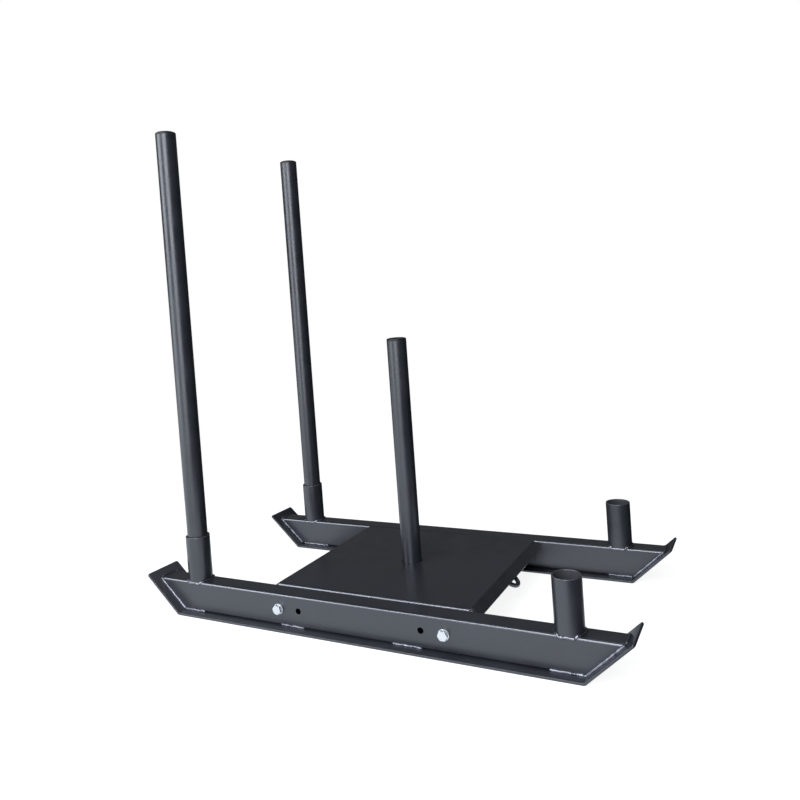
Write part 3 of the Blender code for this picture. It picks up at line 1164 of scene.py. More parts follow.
    def build_skid_welds(self) -> Object:
        """Build the welds that hold the tube on the skid: short runs along its foot, and runs up the mitres.

        Returns:
            The welds' object.
        """
        bm = bmesh.new()
        low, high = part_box(self.label("runner_tube"))
        foot_z = self.skid_thickness + self.stitch_rise
        outward = self.side.value
        for face, stitches in ((outward, self.outer_stitches), (-outward, self.inner_stitches)):
            foot_y = (low.y + high.y) / 2 + face * ((high.y - low.y) / 2 - self.stitch_inset)
            for start, stop in stitches:
                path = weld_points(Vector((start, foot_y, foot_z)), Vector((stop, foot_y, foot_z)))
                WeldBead(self.stitch_radius, start * STITCH_SEED + face).lay(bm, path)
        for end in End:
            for face in (-1, 1):
                bead = WeldBead(
                    self.mitre_radius,
                    CLIMB_SEED * end.value + face,
                    ripple_share=self.climb_ripple,
                    wander_share=self.climb_wander,
                    sway_share=self.climb_sway,
                )
                bead.lay(bm, self.mitre_climb(end, face)[: -(CORNER_STEPS // 2)])
        return add_piece(self.label("skid_welds"), bm, COAT_ON_WELD, Body.FRAME)

    def build_upper_welds(self) -> Object:
        """Build the welds round the sockets' feet and across the mitres' tops.

        The coat is thin where the first ones go over the tube's corners.

        Returns:
            The welds' object.
        """
        bm = bmesh.new()
        for end in End:
            WeldBead(self.foot_radius, FOOT_SEED * end.value + self.side.value).lay(bm, self.socket_path(end))
        low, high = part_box(self.label("runner_tube"))
        mark = wear_layer(bm)
        for face in bm.faces:
            from_middle = abs(face.calc_center_median().y - (low.y + high.y) / 2)
            if from_middle > (high.y - low.y) / 2 - self.tube_corner:
                face[mark] = 1.0
        for end in End:
            across = weld_points(self.mitre_climb(end, -1)[-1], self.mitre_climb(end, 1)[-1])
            WeldBead(self.mitre_radius, MITRE_TOP_SEED * end.value + self.side.value).lay(bm, across)
        return add_piece(self.label("socket_welds"), bm, COAT_ON_FOOT_WELD, Body.FRAME)

    def mitre_climb(self, end: End, face: int) -> list[Vector]:
        """Follow the tube's mitred end up one side and round the corner at its top.

        Args:
            end: which end.
            face: -1 or 1, the side along Y.

        Returns:
            Points along the joint between tube and skid.
        """
        low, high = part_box(self.label("runner_tube"))
        slope = Vector((end.value * math.cos(self.mitre), 0, math.sin(self.mitre)))
        foot = self.mitre_foot(end, high.y if face > 0 else low.y)
        straight = (high.z - low.z) / math.sin(self.mitre) - self.tube_corner
        climb = weld_points(foot + slope * self.mitre_start, foot + slope * straight)
        for step in range(1, CORNER_STEPS + 1):
            angle = step / CORNER_STEPS * math.pi / 2
            corner = foot + slope * (straight + self.tube_corner * math.sin(angle))
            corner.y -= face * self.tube_corner * (1 - math.cos(angle))
            climb.append(corner)
        return climb

    def socket_path(self, end: End) -> list[Vector]:
        """Go once round a socket's foot, which drops over the tube's rounded edges on both sides.

        Args:
            end: which socket.

        Returns:
            Points along the foot.
        """
        low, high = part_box(self.label(end.word + "_socket"))
        tube_low, tube_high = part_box(self.label("runner_tube"))
        reach = (high.x - low.x) / 2 + self.foot_reach
        half = (tube_high.y - tube_low.y) / 2
        middle = (low + high) / 2
        path = []
        for angle in weld_angles(reach):
            across = reach * math.sin(angle)
            past = max(0.0, abs(across) - (half - self.tube_corner))
            drop = self.tube_corner - math.sqrt(max(0.0, self.tube_corner**2 - past**2))
            held = math.copysign(min(abs(across), half + self.foot_reach), across)
            height = low.z - min(drop, self.foot_drop)
            path.append(Vector((middle.x + reach * math.cos(angle), middle.y + held, height)))
        return path


@dataclass
class Deck:
    """The folded deck with the sleeve that holds the weight post under it, and the pull eye.

    Attributes:
        drilling: the holes across its side flanges.
        drill_depth: how deep the drills go.
        thickness: of the deck's sheet.
        bend: inner radius of its folds.
        flange: width of a sloping end flange.
        slope: how far an end flange folds down.
        sheet_rows: rows of the flat sheet: the middle one carries the end flanges.
        corner_relief: how far the end flanges stop short of the side bends.
        post_hole: diameter of the hole for the post, and the sleeve's bore.
        cut_edge: rounding of the sheet's cut edges.
        cut_wear: how thin the coat is over those.
        eye_bar: diameter of the pull eye's bar.
        eye_bend: radius of its bend.
        eye_reach: how far it stands out past the flange.
        eye_leg_start: where its legs start, along the flange.
        eye_gap: gap between the bar and the flange.
        weld_radius: half the width of the welds round the sleeve.
        weld_sink: how far their middle lies inside the joint.
        eye_weld_radius: half the width of the welds along the eye's legs.
        eye_weld_stop: how far from the flange's edge those stop.
        corner_weld_radius: half the width of the welds that close the deck's corners.
    """

    drilling: Drilling = Drilling()
    drill_depth: float = 0.030
    thickness: float = 0.004
    bend: float = 0.003
    flange: float = 0.026
    slope: float = math.radians(35)
    sheet_rows: int = 3
    corner_relief: float = 0.0015
    post_hole: float = 0.050
    cut_edge: float = 0.0008
    cut_wear: float = 0.2
    eye_bar: float = 0.010
    eye_bend: float = 0.019
    eye_reach: float = 0.0127
    eye_leg_start: float = 0.006
    eye_gap: float = 0.0003
    weld_radius: float = 0.0028
    weld_sink: float = 0.0008
    eye_weld_radius: float = 0.0022
    eye_weld_stop: float = 0.005
    corner_weld_radius: float = 0.0032

    def build(self) -> list[Object]:
        """Build the deck's pieces.

        Returns:
            The pieces' objects.
        """
        return [
            self.build_plate(),
            self.build_sleeve(),
            self.build_floor(),
            self.build_eye(),
            self.build_welds(),
        ]

    def fold_line(self) -> float:
        """Where the flat and the end flange would meet without a radius, along X."""
        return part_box("deck_plate")[1].x - self.flange * math.cos(self.slope)

    def flat_half_width(self) -> float:
        """How far from the sled's middle the side bends start, along Y."""
        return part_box("deck_plate")[1].y - self.bend - self.thickness

    def build_plate(self) -> Object:
        """Build the sheet with its side flanges, its sloping end flanges, its holes and its welded corners.

        Returns:
            The sheet's object.
        """
        low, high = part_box("deck_plate")
        outer_bend = self.bend + self.thickness
        tangent = outer_bend * math.tan(self.slope / 2)
        flat_x = self.fold_line() - tangent
        flat_y = self.flat_half_width()
        bm = flat_sheet(2 * flat_x, 2 * flat_y, rows=self.sheet_rows)
        bmesh.ops.translate(bm, verts=bm.verts, vec=(0, 0, high.z))
        for vert in bm.verts:
            if abs(vert.co.y) < flat_y / 2:
                vert.co.y = math.copysign(flat_y - self.corner_relief, vert.co.y)
        run = self.flange - tangent
        for end in End:
            edges = border(bm, 0, end.value * flat_x, reach=flat_y - EDGE_TOLERANCE)
            centre = Vector((end.value * flat_x, 0, high.z - outer_bend))
            leg = Vector((end.value * run * math.cos(self.slope), 0, -run * math.sin(self.slope)))
            fold(bm, edges, centre, Vector((0, 1, 0)), end.value * self.slope, leg)
        for side in Side:
            edges = border(bm, 1, side.value * flat_y)
            centre = Vector((0, side.value * flat_y, high.z - outer_bend))
            leg = Vector((0, 0, low.z - high.z + outer_bend))
            fold(bm, edges, centre, Vector((1, 0, 0)), -side.value * math.pi / 2, leg)
        thicken(bm, self.thickness)
        bm = carve(bm, drill_bits(self.holes(), self.drill_depth), Carving.CUT)
        wear_upper_corners(bm)
        soften(bm, self.cut_edge, wear=self.cut_wear)
        for side in Side:
            for end in End:
                bead = WeldBead(self.corner_weld_radius, CORNER_SEED * side.value + end.value)
                bead.lay(bm, self.corner_path(side, end))
        return add_piece("folded_deck", bm, COAT, Body.FRAME, ["deck_plate"])

    def corner_path(self, side: Side, end: End) -> list[Vector]:
        """Find the path of the weld that closes a corner of the deck.

        Args:
            side: which side the corner is on.
            end: which end it is at.

        Returns:
            Points down the end flange's edge, from the side bend's end.
        """
        place = Matrix.Diagonal((end.value, 1, 1, 1)) @ self.flange_place(self.thickness)
        across = side.value * self.flat_half_width()
        start = place @ Vector((-self.corner_weld_radius, across, 0))
        stop = place @ Vector((self.flange - self.corner_weld_radius, across, 0))
        return weld_points(start, stop)

    def holes(self) -> list[Hole]:
        """Find the deck's holes.

        Returns:
            The post's hole and the holes in both side flanges.
        """
        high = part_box("deck_plate")[1]
        found = [(Vector((0, 0, high.z)), Vector((0, 0, 1)), self.post_hole / 2)]
        for side in Side:
            found += self.drilling.holes(side, side.value * high.y)
        return found

    def build_sleeve(self) -> Object:
        """Build the sleeve that the post stands in.

        Returns:
            The sleeve's object.
        """
        bm = round_tube("post_sleeve", self.post_hole)
        soften(bm, self.cut_edge, wear=self.cut_wear)
        return add_piece("weight_post_sleeve", bm, COAT, Body.FRAME, ["post_sleeve"])

    def build_floor(self) -> Object:
        """Build the disc that closes the sleeve's foot.

        Returns:
            The disc's object.
        """
        low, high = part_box("sleeve_floor")
        bm = turned([(0, low.z), (high.x, low.z), (high.x, high.z), (0, high.z)], ring=False)
        soften(bm, self.cut_edge, wear=self.cut_wear)
        return add_piece("sleeve_foot_disc", bm, COAT, Body.FRAME, ["sleeve_floor"])

    def flange_place(self, depth: float) -> Matrix:
        """Find a frame that lies along the front flange.

        Args:
            depth: how far it lies under the flange's upper face.

        Returns:
            A matrix whose X runs down the flange and whose Z stands on it.
        """
        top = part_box("deck_plate")[1].z
        place = (self.fold_line() - depth * math.sin(self.slope), 0, top - depth * math.cos(self.slope))
        return Matrix.Translation(place) @ Matrix.Rotation(self.slope, 4, "Y")

    def eye_place(self) -> Matrix:
        """The pull eye's own frame, at the depth of its bar's middle."""
        return self.flange_place(self.thickness + self.eye_gap + self.eye_bar / 2)

    def build_eye(self) -> Object:
        """Build the pull eye, a round bar bent to a U.

        Returns:
            The eye's object.
        """
        centre = self.flange + self.eye_reach - self.eye_bend
        leg = centre - self.eye_leg_start
        forward = Matrix.Rotation(math.pi / 2, 4, "Y")
        start = Matrix.Translation((self.eye_leg_start, -self.eye_bend, 0)) @ forward
        bm = bmesh.new()
        bmesh.ops.create_circle(
            bm, cap_ends=True, segments=SMALL_STEPS, radius=self.eye_bar / 2, matrix=start
        )
        verts, edges = extrude_loop(bm, bm.edges[:])
        bmesh.ops.translate(bm, verts=verts, vec=(leg, 0, 0))
        bent = bmesh.ops.spin(
            bm,
            geom=edges,
            cent=(centre, 0, 0),
            axis=(0, 0, 1),
            dvec=(0, 0, 0),
            angle=math.pi,
            steps=SMALL_STEPS,
        )
        verts, edges = extrude_loop(bm, only_edges(bent["geom_last"]))
        bmesh.ops.translate(bm, verts=verts, vec=(-leg, 0, 0))
        bmesh.ops.edgeloop_fill(bm, edges=edges)
        bmesh.ops.recalc_face_normals(bm, faces=bm.faces)
        soften(bm, self.cut_edge, wear=self.cut_wear)
        bmesh.ops.transform(bm, matrix=self.eye_place(), verts=bm.verts)
        return add_piece("bent_bar_eye", bm, COAT, Body.FRAME, ["pull_eye"])

    def build_welds(self) -> Object:
        """Build the welds that hold the sleeve, its foot disc and the pull eye.

        Returns:
            The welds' object.
        """
        bm = bmesh.new()
        sleeve_low, sleeve_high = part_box("post_sleeve")
        reach = sleeve_high.x + self.weld_sink
        for order, height in enumerate((sleeve_high.z - self.weld_sink, sleeve_low.z)):
            turns = weld_angles(reach)
            path = [Vector((reach * math.cos(angle), reach * math.sin(angle), height)) for angle in turns]
            WeldBead(self.weld_radius, SLEEVE_SEED + order).lay(bm, path)
        place = self.eye_place()
        rise = self.eye_bar / 2 - self.eye_weld_radius / 2
        for leg in (-1, 1):
            for face in (-1, 1):
                across = leg * self.eye_bend + face * (self.eye_bar / 2 - self.weld_sink)
                start = place @ Vector((self.eye_leg_start + WELD_POINT_SPACING, across, rise))
                stop = place @ Vector((self.flange - self.eye_weld_stop, across, rise))
                WeldBead(self.eye_weld_radius, EYE_SEED + leg + face / 3).lay(bm, weld_points(start, stop))
        return add_piece("deck_welds", bm, COAT_ON_WELD, Body.FRAME)


@dataclass
class LiftOutTube:
    """A push pole or the weight post: a round tube that lifts out, closed by a plastic cap.

    Attributes:
        tube_node: the tube's CAD node.
        cap_node: the cap's CAD node.
        piece_name: name of the tube's piece.
        body: the body that both ride on.
        wall: the tube's wall.
        cut_edge: rounding of the tube's ends.
        cut_wear: how thin the coat is over those.
        crown: how far the cap's crown rises over its straight lip.
        crown_fullness: how full the crown's curve is: 2 is an ellipse, and more is squarer.
        crown_steps: faces from the crown's middle to the lip.
        lip_edge: rounding of the lip's lower edge.
        lip_steps: faces across that rounding.
        plug_wall: wall of the cap's plug.
        plug_play: gap between the plug's ribs and the tube.
        rib: how far a rib stands out of the plug.
        rib_places: how far down the plug each rib is, as a share of its depth.
    """

    tube_node: str
    cap_node: str
    piece_name: str
    body: Body
    wall: float = 0.0025
    cut_edge: float = 0.0006
    cut_wear: float = 0.3
    crown: float = 0.0055
    crown_fullness: float = 3.0
    crown_steps: int = 20
    lip_edge: float = 0.0005
    lip_steps: int = 4
    plug_wall: float = 0.002
    plug_play: float = 0.0003
    rib: float = 0.0015
    rib_places: tuple[float, ...] = (1 / 3, 2 / 3)

    def build(self) -> list[Object]:
        """Build the tube and its cap.

        Returns:
            The pieces' objects.
        """
        low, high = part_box(self.tube_node)
        bm = round_tube(self.tube_node, high.x - low.x - 2 * self.wall)
        soften(bm, self.cut_edge, wear=self.cut_wear)
        tube = add_piece(self.piece_name, bm, COAT, self.body, [self.tube_node])
        return [tube, self.build_cap()]

    def cap_profile(self) -> list[tuple[float, float]]:
        """Draw half the cap's section, from its crown's middle down round the plug and back to the middle.

        Returns:
            Radius and height of each point.
        """
        low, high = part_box(self.cap_node)
        tube_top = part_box(self.tube_node)[1].z
        radius = (high.x - low.x) / 2
        seat = tube_top + self.plug_play
        bend = 2 / self.crown_fullness
        profile = []
        for step in range(self.crown_steps + 1):
            angle = step / self.crown_steps * math.pi / 2
            height = high.z - self.crown + self.crown * max(0.0, math.cos(angle)) ** bend
            profile.append((radius * math.sin(angle) ** bend, height))
        rib = radius - self.wall - self.plug_play
        core = rib - self.rib
        depth = tube_top - low.z
        profile += [(radius, seat), (core, seat)]
        for share in self.rib_places:
            middle = tube_top - depth * share
            profile += [(core, middle + self.rib / 2), (rib, middle), (core, middle - self.rib / 2)]
        hollow = core - self.plug_wall
        return profile + [(core, low.z), (hollow, low.z), (hollow, seat), (0, seat)]

    def build_cap(self) -> Object:
        """Build the cap: a low full crown and a straight lip over a ribbed plug.

        Returns:
            The cap's object.
        """
        low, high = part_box(self.cap_node)
        bm = turned(self.cap_profile(), ring=False)
        outermost = (high.x - low.x) / 2 - EDGE_TOLERANCE
        lip = [edge for edge in sharp_edges(bm) if all(vert.co.xy.length > outermost for vert in edge.verts)]
        round_off(bm, lip, self.lip_edge, self.lip_steps, Rounding.EDGES)
        bmesh.ops.translate(bm, verts=bm.verts, vec=((low.x + high.x) / 2, (low.y + high.y) / 2, 0))
        return add_piece(self.piece_name + "_end_cap", bm, CAP_PLASTIC, self.body, [self.cap_node])


@dataclass
class BoltedJoint:
    """One M12 hex bolt through runner and deck, with a washer at each end and a nut inside.

    Attributes:
        side: the runner that it goes through.
        end: the rear or the front bolt.
        turn: how far round its head happened to stop.
        diameter: of the thread.
        flats: across the flats of head and nut.
        head_height: of the bolt's head.
        chamfer: how far the corners of head and nut are turned down.
        chamfer_inset: how far inside the flats that starts.
        chamfer_run: how far out it has dropped by that height.
        pitch: of the thread.
        thread_depth: of the thread.
        thread_length: of the threaded tail.
        thread_steps: faces round the thread.
        crest: where along the pitch the thread's crest starts and stops, as shares of it.
        spare_turns: turns wound past the tail, to be sawn off.
        nut_play: gap between the nut's bore and the thread.
        washer_bore: hole through a washer.
        small_edge: rounding of a washer's edges.
        small_steps: faces across that rounding.
    """

    side: Side
    end: End
    turn: float
    diameter: float = 0.012
    flats: float = 0.019
    head_height: float = 0.0075
    chamfer: float = 0.0012
    chamfer_inset: float = 0.0004
    chamfer_run: float = 0.0024
    pitch: float = 0.00175
    thread_depth: float = 0.0009
    thread_length: float = 0.030
    thread_steps: int = 24
    crest: tuple[float, float] = (0.44, 0.56)
    spare_turns: int = 2
    nut_play: float = 0.0002
    washer_bore: float = 0.013
    small_edge: float = 0.0004
    small_steps: int = 2

    def label(self, name: str) -> str:
        """A name with this joint's side and end before it, as CAD nodes and pieces have it."""
        return f"{self.side.word}_{self.end.word}_{name}"

    def build(self) -> list[Object]:
        """Build the bolt, its nut and its washers.

        Returns:
            The pieces' objects.
        """
        pieces = [self.build_bolt(), self.build_nut()]
        pieces += [self.build_washer(name) for name in ("outer_washer", "inner_washer")]
        return pieces

    def place(self, along: float, node: str) -> Matrix:
        """Find where a fastener made along Z goes.

        Args:
            along: the Y of its own zero.
            node: the CAD node in whose middle it is centred.

        Returns:
            A matrix that turns its Z outwards, away from the sled.
        """
        middle = box_middle(node)
        outward = Matrix.Rotation(-self.side.value * math.pi / 2, 4, "X")
        turn = Matrix.Rotation(self.turn, 4, "Z")
        return Matrix.Translation((middle.x, along, middle.z)) @ outward @ turn

    def ends(self, node: str) -> tuple[float, float]:
        """The Y of a CAD node's inner and outer end."""
        low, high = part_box(node)
        return (low.y, high.y) if self.side is Side.LEFT else (high.y, low.y)

    def hexagon(self, height: float, both: bool) -> BMesh:
        """Make a hexagon that stands on XY, its corners turned down.

        Args:
            height: how tall it is.
            both: whether its lower corners are turned down as well.

        Returns:
            The hexagon.
        """
        bm = bmesh.new()
        add_bar(bm, self.flats / math.sqrt(3), height, Matrix.Translation((0, 0, height / 2)), steps=6)
        flat = self.flats / 2 - self.chamfer_inset
        past = flat + self.chamfer_run
        above = height + EDGE_TOLERANCE
        profile = [(0, above), (flat, above), (past, height - self.chamfer)]
        if both:
            profile += [(past, self.chamfer), (flat, -EDGE_TOLERANCE)]
        else:
            profile += [(past, -EDGE_TOLERANCE)]
        profile += [(0, -EDGE_TOLERANCE)]
        return carve(bm, turned(profile, ring=False), Carving.COMMON)

    def build_bolt(self) -> Object:
        """Build the bolt: chamfered head, plain shank and threaded tail.

        Returns:
            The bolt's object.
        """
        node = self.label("bolt")
        inner, outer = self.ends(node)
        seat = outer - self.side.value * self.head_height
        length = abs(seat - inner)
        shank = length - self.thread_length
        inside_head = self.head_height / 2
        bm = self.hexagon(self.head_height, both=False)
        middle = Matrix.Translation((0, 0, (inside_head - shank) / 2))
        add_bar(bm, self.diameter / 2, shank + inside_head, middle)
        merge(bm, self.thread(-length, -shank))
        bmesh.ops.transform(bm, matrix=self.place(seat, node), verts=bm.verts)
        return add_piece(self.label("hex_bolt"), bm, ZINC, Body.FRAME, [node])

    def thread(self, foot: float, top: float) -> BMesh:
        """Make a length of outside thread.

        Args:
            foot: height of its lower end.
            top: height of its upper end.

        Returns:
            The closed thread.
        """
        outer = self.diameter / 2
        root = outer - self.thread_depth
        turns = math.ceil((top - foot) / self.pitch) + self.spare_turns
        start = foot - self.pitch
        rising, falling = self.crest
        tooth = [(root, 0), (outer, rising), (outer, falling), (root, 1)]
        bm = bmesh.new()
        verts = [bm.verts.new((radius, 0, start + share * self.pitch)) for radius, share in tooth]
        edges = [bm.edges.new(pair) for pair in zip(verts, verts[1:])]
        bmesh.ops.spin(
            bm,
            geom=verts + edges,
            cent=(0, 0, 0),
            axis=(0, 0, 1),
            dvec=(0, 0, self.pitch / self.thread_steps),
            angle=math.tau * turns,
            steps=self.thread_steps * turns,
        )
        bmesh.ops.remove_doubles(bm, verts=bm.verts, dist=MERGE_DISTANCE)
        for height, upward in ((foot, -1), (top, 1)):
            rim = saw(bm, (0, 0, height), (0, 0, upward))
            bmesh.ops.edgeloop_fill(bm, edges=rim)
        bmesh.ops.recalc_face_normals(bm, faces=bm.faces)
        return bm

    def build_nut(self) -> Object:
        """Build the nut: corners turned down on both faces, bored for the bolt.

        Returns:
            The nut's object.
        """
        node = self.label("nut")
        inner, outer = self.ends(node)
        height = abs(outer - inner)
        bore = (Vector((0, 0, height / 2)), Vector((0, 0, 1)), self.diameter / 2 + self.nut_play)
        bm = carve(self.hexagon(height, both=True), drill_bits([bore], 3 * height), Carving.CUT)
        bmesh.ops.transform(bm, matrix=self.place(inner, node), verts=bm.verts)
        return add_piece(self.label("hex_nut"), bm, ZINC, Body.FRAME, [node])

    def build_washer(self, name: str) -> Object:
        """Build one flat washer.

        Args:
            name: the washer's name within the joint.

        Returns:
            The washer's object.
        """
        node = self.label(name)
        low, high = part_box(node)
        inner, outer = self.ends(node)
        edge = (high.x - low.x) / 2
        thickness = abs(outer - inner)
        bore = self.washer_bore / 2
        bm = turned([(edge, 0), (edge, thickness), (bore, thickness), (bore, 0)], steps=SMALL_STEPS)
        soften(bm, self.small_edge, segments=self.small_steps)
        bmesh.ops.transform(bm, matrix=self.place(inner, node), verts=bm.verts)
        return add_piece(self.label("flat_" + name), bm, ZINC, Body.FRAME, [node])


# Studio


@dataclass(frozen=True)
class Softbox:
    """One rectangular lamp with the faint blue of daylight.

    Attributes:
        name: the lamp's name.
        place: where it hangs.
        aim: what it points at.
        width: its level side.
        height: its upright side.
        power: its power in watts.
        colour: the colour of its light.
    """

    name: str
    place: tuple[float, float, float]
    aim: tuple[float, float, float]
    width: float
    height: float
    power: float
    colour: str = "#f0f5ff"

    def hang(self) -> None:
        """Add the lamp to the scene, turned towards what it lights."""
        lamp = bpy.data.lights.new(self.name, "AREA")
        lamp.shape = "RECTANGLE"
        lamp.size = self.width
        lamp.size_y = self.height
        lamp.energy = self.power
        lamp.color = linear(self.colour)[:3]
        obj = bpy.data.objects.new(self.name, lamp)
        obj.location = self.place
        obj.rotation_euler = (Vector(self.aim) - Vector(self.place)).to_track_quat("-Z", "Y").to_euler()
        bpy.context.scene.collection.objects.link(obj)


@dataclass(frozen=True)
class Ramp:
    """A smooth change of brightness with another value.

    Attributes:
        start: the value where the change starts.
        stop: the value where it stops.
        low: the brightness at the start.
        high: the brightness at the stop.
    """

    start: float
    stop: float
    low: float = 0.0
    high: float = 1.0


def brightness(tree: NodeTree, ramps: Sequence[tuple[NodeSocket, Ramp]]) -> NodeSocket:
    """Multiply several ramps.

    Args:
        tree: the node tree.
        ramps: each ramp, after the value that drives it.

    Returns:
        The brightness.
    """
    shares = []
    for value, ramp in ramps:
        inputs = {
            "Value": value,
            "From Min": ramp.start,
            "From Max": ramp.stop,
            "To Min": ramp.low,
            "To Max": ramp.high,
        }
        share = add_node(tree, "ShaderNodeMapRange", inputs, interpolation_type="SMOOTHSTEP")
        shares.append(share.outputs[0])
    product = shares[0]
    for share in shares[1:]:
        product = add_node(tree, "ShaderNodeMath", {0: product, 1: share}, operation="MULTIPLY").outputs[0]
    return product


def shown_rays(tree: NodeTree) -> tuple[NodeSocket, NodeSocket]:
    """Tell apart the rays that show the background.

    Args:
        tree: a material's or the world's node tree.

    Returns:
        A socket that is 1 for camera rays, and one that is 1 for mirrored and see-through rays.
    """
    path = add_node(tree, "ShaderNodeLightPath").outputs
    either = {0: path["Is Glossy Ray"], 1: path["Is Transmission Ray"]}
    mirrored = add_node(tree, "ShaderNodeMath", either, operation="MAXIMUM").outputs[0]
    return path["Is Camera Ray"], mirrored


@dataclass
class Studio:
    """The floor and the backdrop, both white to the camera, the lamps and the camera.

    Attributes:
        softboxes: two windows in front with dimmer panels under them, a skylight between, and a lamp behind.
        floor_size: side of the floor.
        floor_colour: of the floor.
        floor_glow: light that the floor near the sled adds where the camera sees it.
        floor_fade: how the floor fades into the backdrop, with the distance from the middle.
        mirrored_colour: the colour in which reflections show the floor.
        back_fade: how bright they show it, with its Y: it is dark behind the sled.
        end_fade: how much of that is left, with its X: it is dark past the sled's front end.
        shade_middle: the X of the middle of the painted shade under the deck and behind it, which stands in
            for the sled's shadow in reflections.
        shade_length: how far outside that shade the floor lies, with its distance along X from there.
        shade_side: the same, with its Y.
        shade_share: how much of the floor's brightness is left in the painted shade and outside it.
        fill: how much light the surroundings give to the object.
        mirror_dark: how bright reflections show most of the backdrop.
        band_rise: how a brighter band of it starts behind the sled, with the sine of the elevation.
        band_fall: how it ends above.
        band_direction: the level direction of the band's middle.
        band_reach: how bright it is, with the cosine from that direction.
        focal_pixels: the photograph's focal length in its own pixels.
        middle_pixels: where the camera's axis meets the photograph.
        azimuth: camera's angle from -Y towards +X.
        elevation: camera's angle above the floor.
        roll: camera's turn about its own axis.
        distance: from camera to target.
        target: a point on the camera's axis.
    """

    softboxes: tuple[Softbox, ...] = (
        Softbox("left_window", (-2.155, -1.94, 1.8), (0.0, 0.0, 0.4), 1.6, 1.5, 38.0),
        Softbox("right_window", (0.603, -2.837, 2.0), (0.0, 0.0, 0.4), 1.75, 1.75, 62.0),
        Softbox("left_panel", (-2.155, -1.94, 0.65), (0.0, 0.0, 0.5), 1.6, 0.9, 10.0),
        Softbox("right_panel", (0.603, -2.837, 0.65), (0.0, 0.0, 0.5), 1.75, 0.9, 16.0),
        Softbox("skylight", (-0.8, -2.2, 2.7), (0.1, 0.0, 0.1), 1.3, 0.9, 28.0),
        Softbox("back_softbox", (0.1, 1.2, 2.9), (0.0, 0.0, 0.2), 1.2, 1.2, 8.0),
    )
    floor_size: float = 60.0
    floor_colour: str = "#a0a0a0"
    floor_glow: float = 0.88
    floor_fade: Ramp = Ramp(0.8, 2.2)
    mirrored_colour: str = "#edf5ff"
    back_fade: Ramp = Ramp(0.5, 0.15, 0.1, 1.25)
    end_fade: Ramp = Ramp(0.7, 0.45, 0.08)
    shade_middle: float = -0.09
    shade_length: Ramp = Ramp(0.25, 0.37)
    shade_side: Ramp = Ramp(-0.18, -0.3)
    shade_share: Ramp = Ramp(0.0, 1.0, 0.1)
    fill: float = 0.15
    mirror_dark: float = 0.02
    band_rise: Ramp = Ramp(0.235, 0.27)
    band_fall: Ramp = Ramp(0.4, 0.29)
    band_direction: tuple[float, float, float] = (-0.45, 0.893, 0.0)
    band_reach: Ramp = Ramp(0.4, 0.8, 0.0, 0.28)
    focal_pixels: float = 738.86
    middle_pixels: tuple[float, float] = (391.71, 327.26)
    azimuth: float = math.radians(27.69)
    elevation: float = math.radians(1.78)
    roll: float = math.radians(-4.09)
    distance: float = 1.79528
    target: tuple[float, float, float] = (-0.01018, 0.0, 0.65001)

    def build(self) -> None:
        """Build everything round the sled."""
        self.build_floor()
        self.build_world()
        self.build_camera()
        for softbox in self.softboxes:
            softbox.hang()
        bpy.context.scene.view_settings.view_transform = "Standard"

    def build_floor(self) -> None:
        """Build the floor, a little under the skids."""
        bm = flat_sheet(self.floor_size, self.floor_size)
        bmesh.ops.translate(bm, verts=bm.verts, vec=(0, 0, -EDGE_TOLERANCE))
        mesh = bpy.data.meshes.new("studio_floor")
        bm.to_mesh(mesh)
        bm.free()
        mesh.materials.append(self.floor_material())
        floor = bpy.data.objects.new("studio_floor", mesh)
        bpy.context.scene.collection.objects.link(floor)

    def floor_material(self) -> Material:
        """Make the floor's material: matt paper that keeps the sled's shadow and is white to the camera.

        Returns:
            The material.
        """
        material = bpy.data.materials.new("matt_paper_floor")
        material.use_nodes = True
        tree = material.node_tree
        tree.nodes.clear()
        place = add_node(tree, "ShaderNodeTexCoord").outputs["Object"]
        away = add_node(tree, "ShaderNodeVectorMath", {0: place}, operation="LENGTH").outputs["Value"]
        faded = brightness(tree, [(away, self.floor_fade)])
        camera, mirrored = shown_rays(tree)
        glow = {0: camera, 1: self.floor_glow}
        glow = add_node(tree, "ShaderNodeMath", glow, operation="MULTIPLY").outputs[0]
        share = add_node(tree, "ShaderNodeMath", {0: faded, 1: camera}, operation="MULTIPLY").outputs[0]
        paper = add_node(tree, "ShaderNodeBsdfDiffuse", {"Color": linear(self.floor_colour)}).outputs[0]
        lit = add_node(tree, "ShaderNodeEmission", {"Strength": glow}).outputs[0]
        near = add_node(tree, "ShaderNodeAddShader", {0: paper, 1: lit}).outputs[0]
        white = add_node(tree, "ShaderNodeEmission", {"Strength": 1.0}).outputs[0]
        seen = add_node(tree, "ShaderNodeMixShader", {0: share, 1: near, 2: white}).outputs[0]
        reflected = self.mirrored_floor(tree, place)
        surface = add_node(tree, "ShaderNodeMixShader", {0: mirrored, 1: seen, 2: reflected}).outputs[0]
        add_node(tree, "ShaderNodeOutputMaterial", {"Surface": surface})
        return material

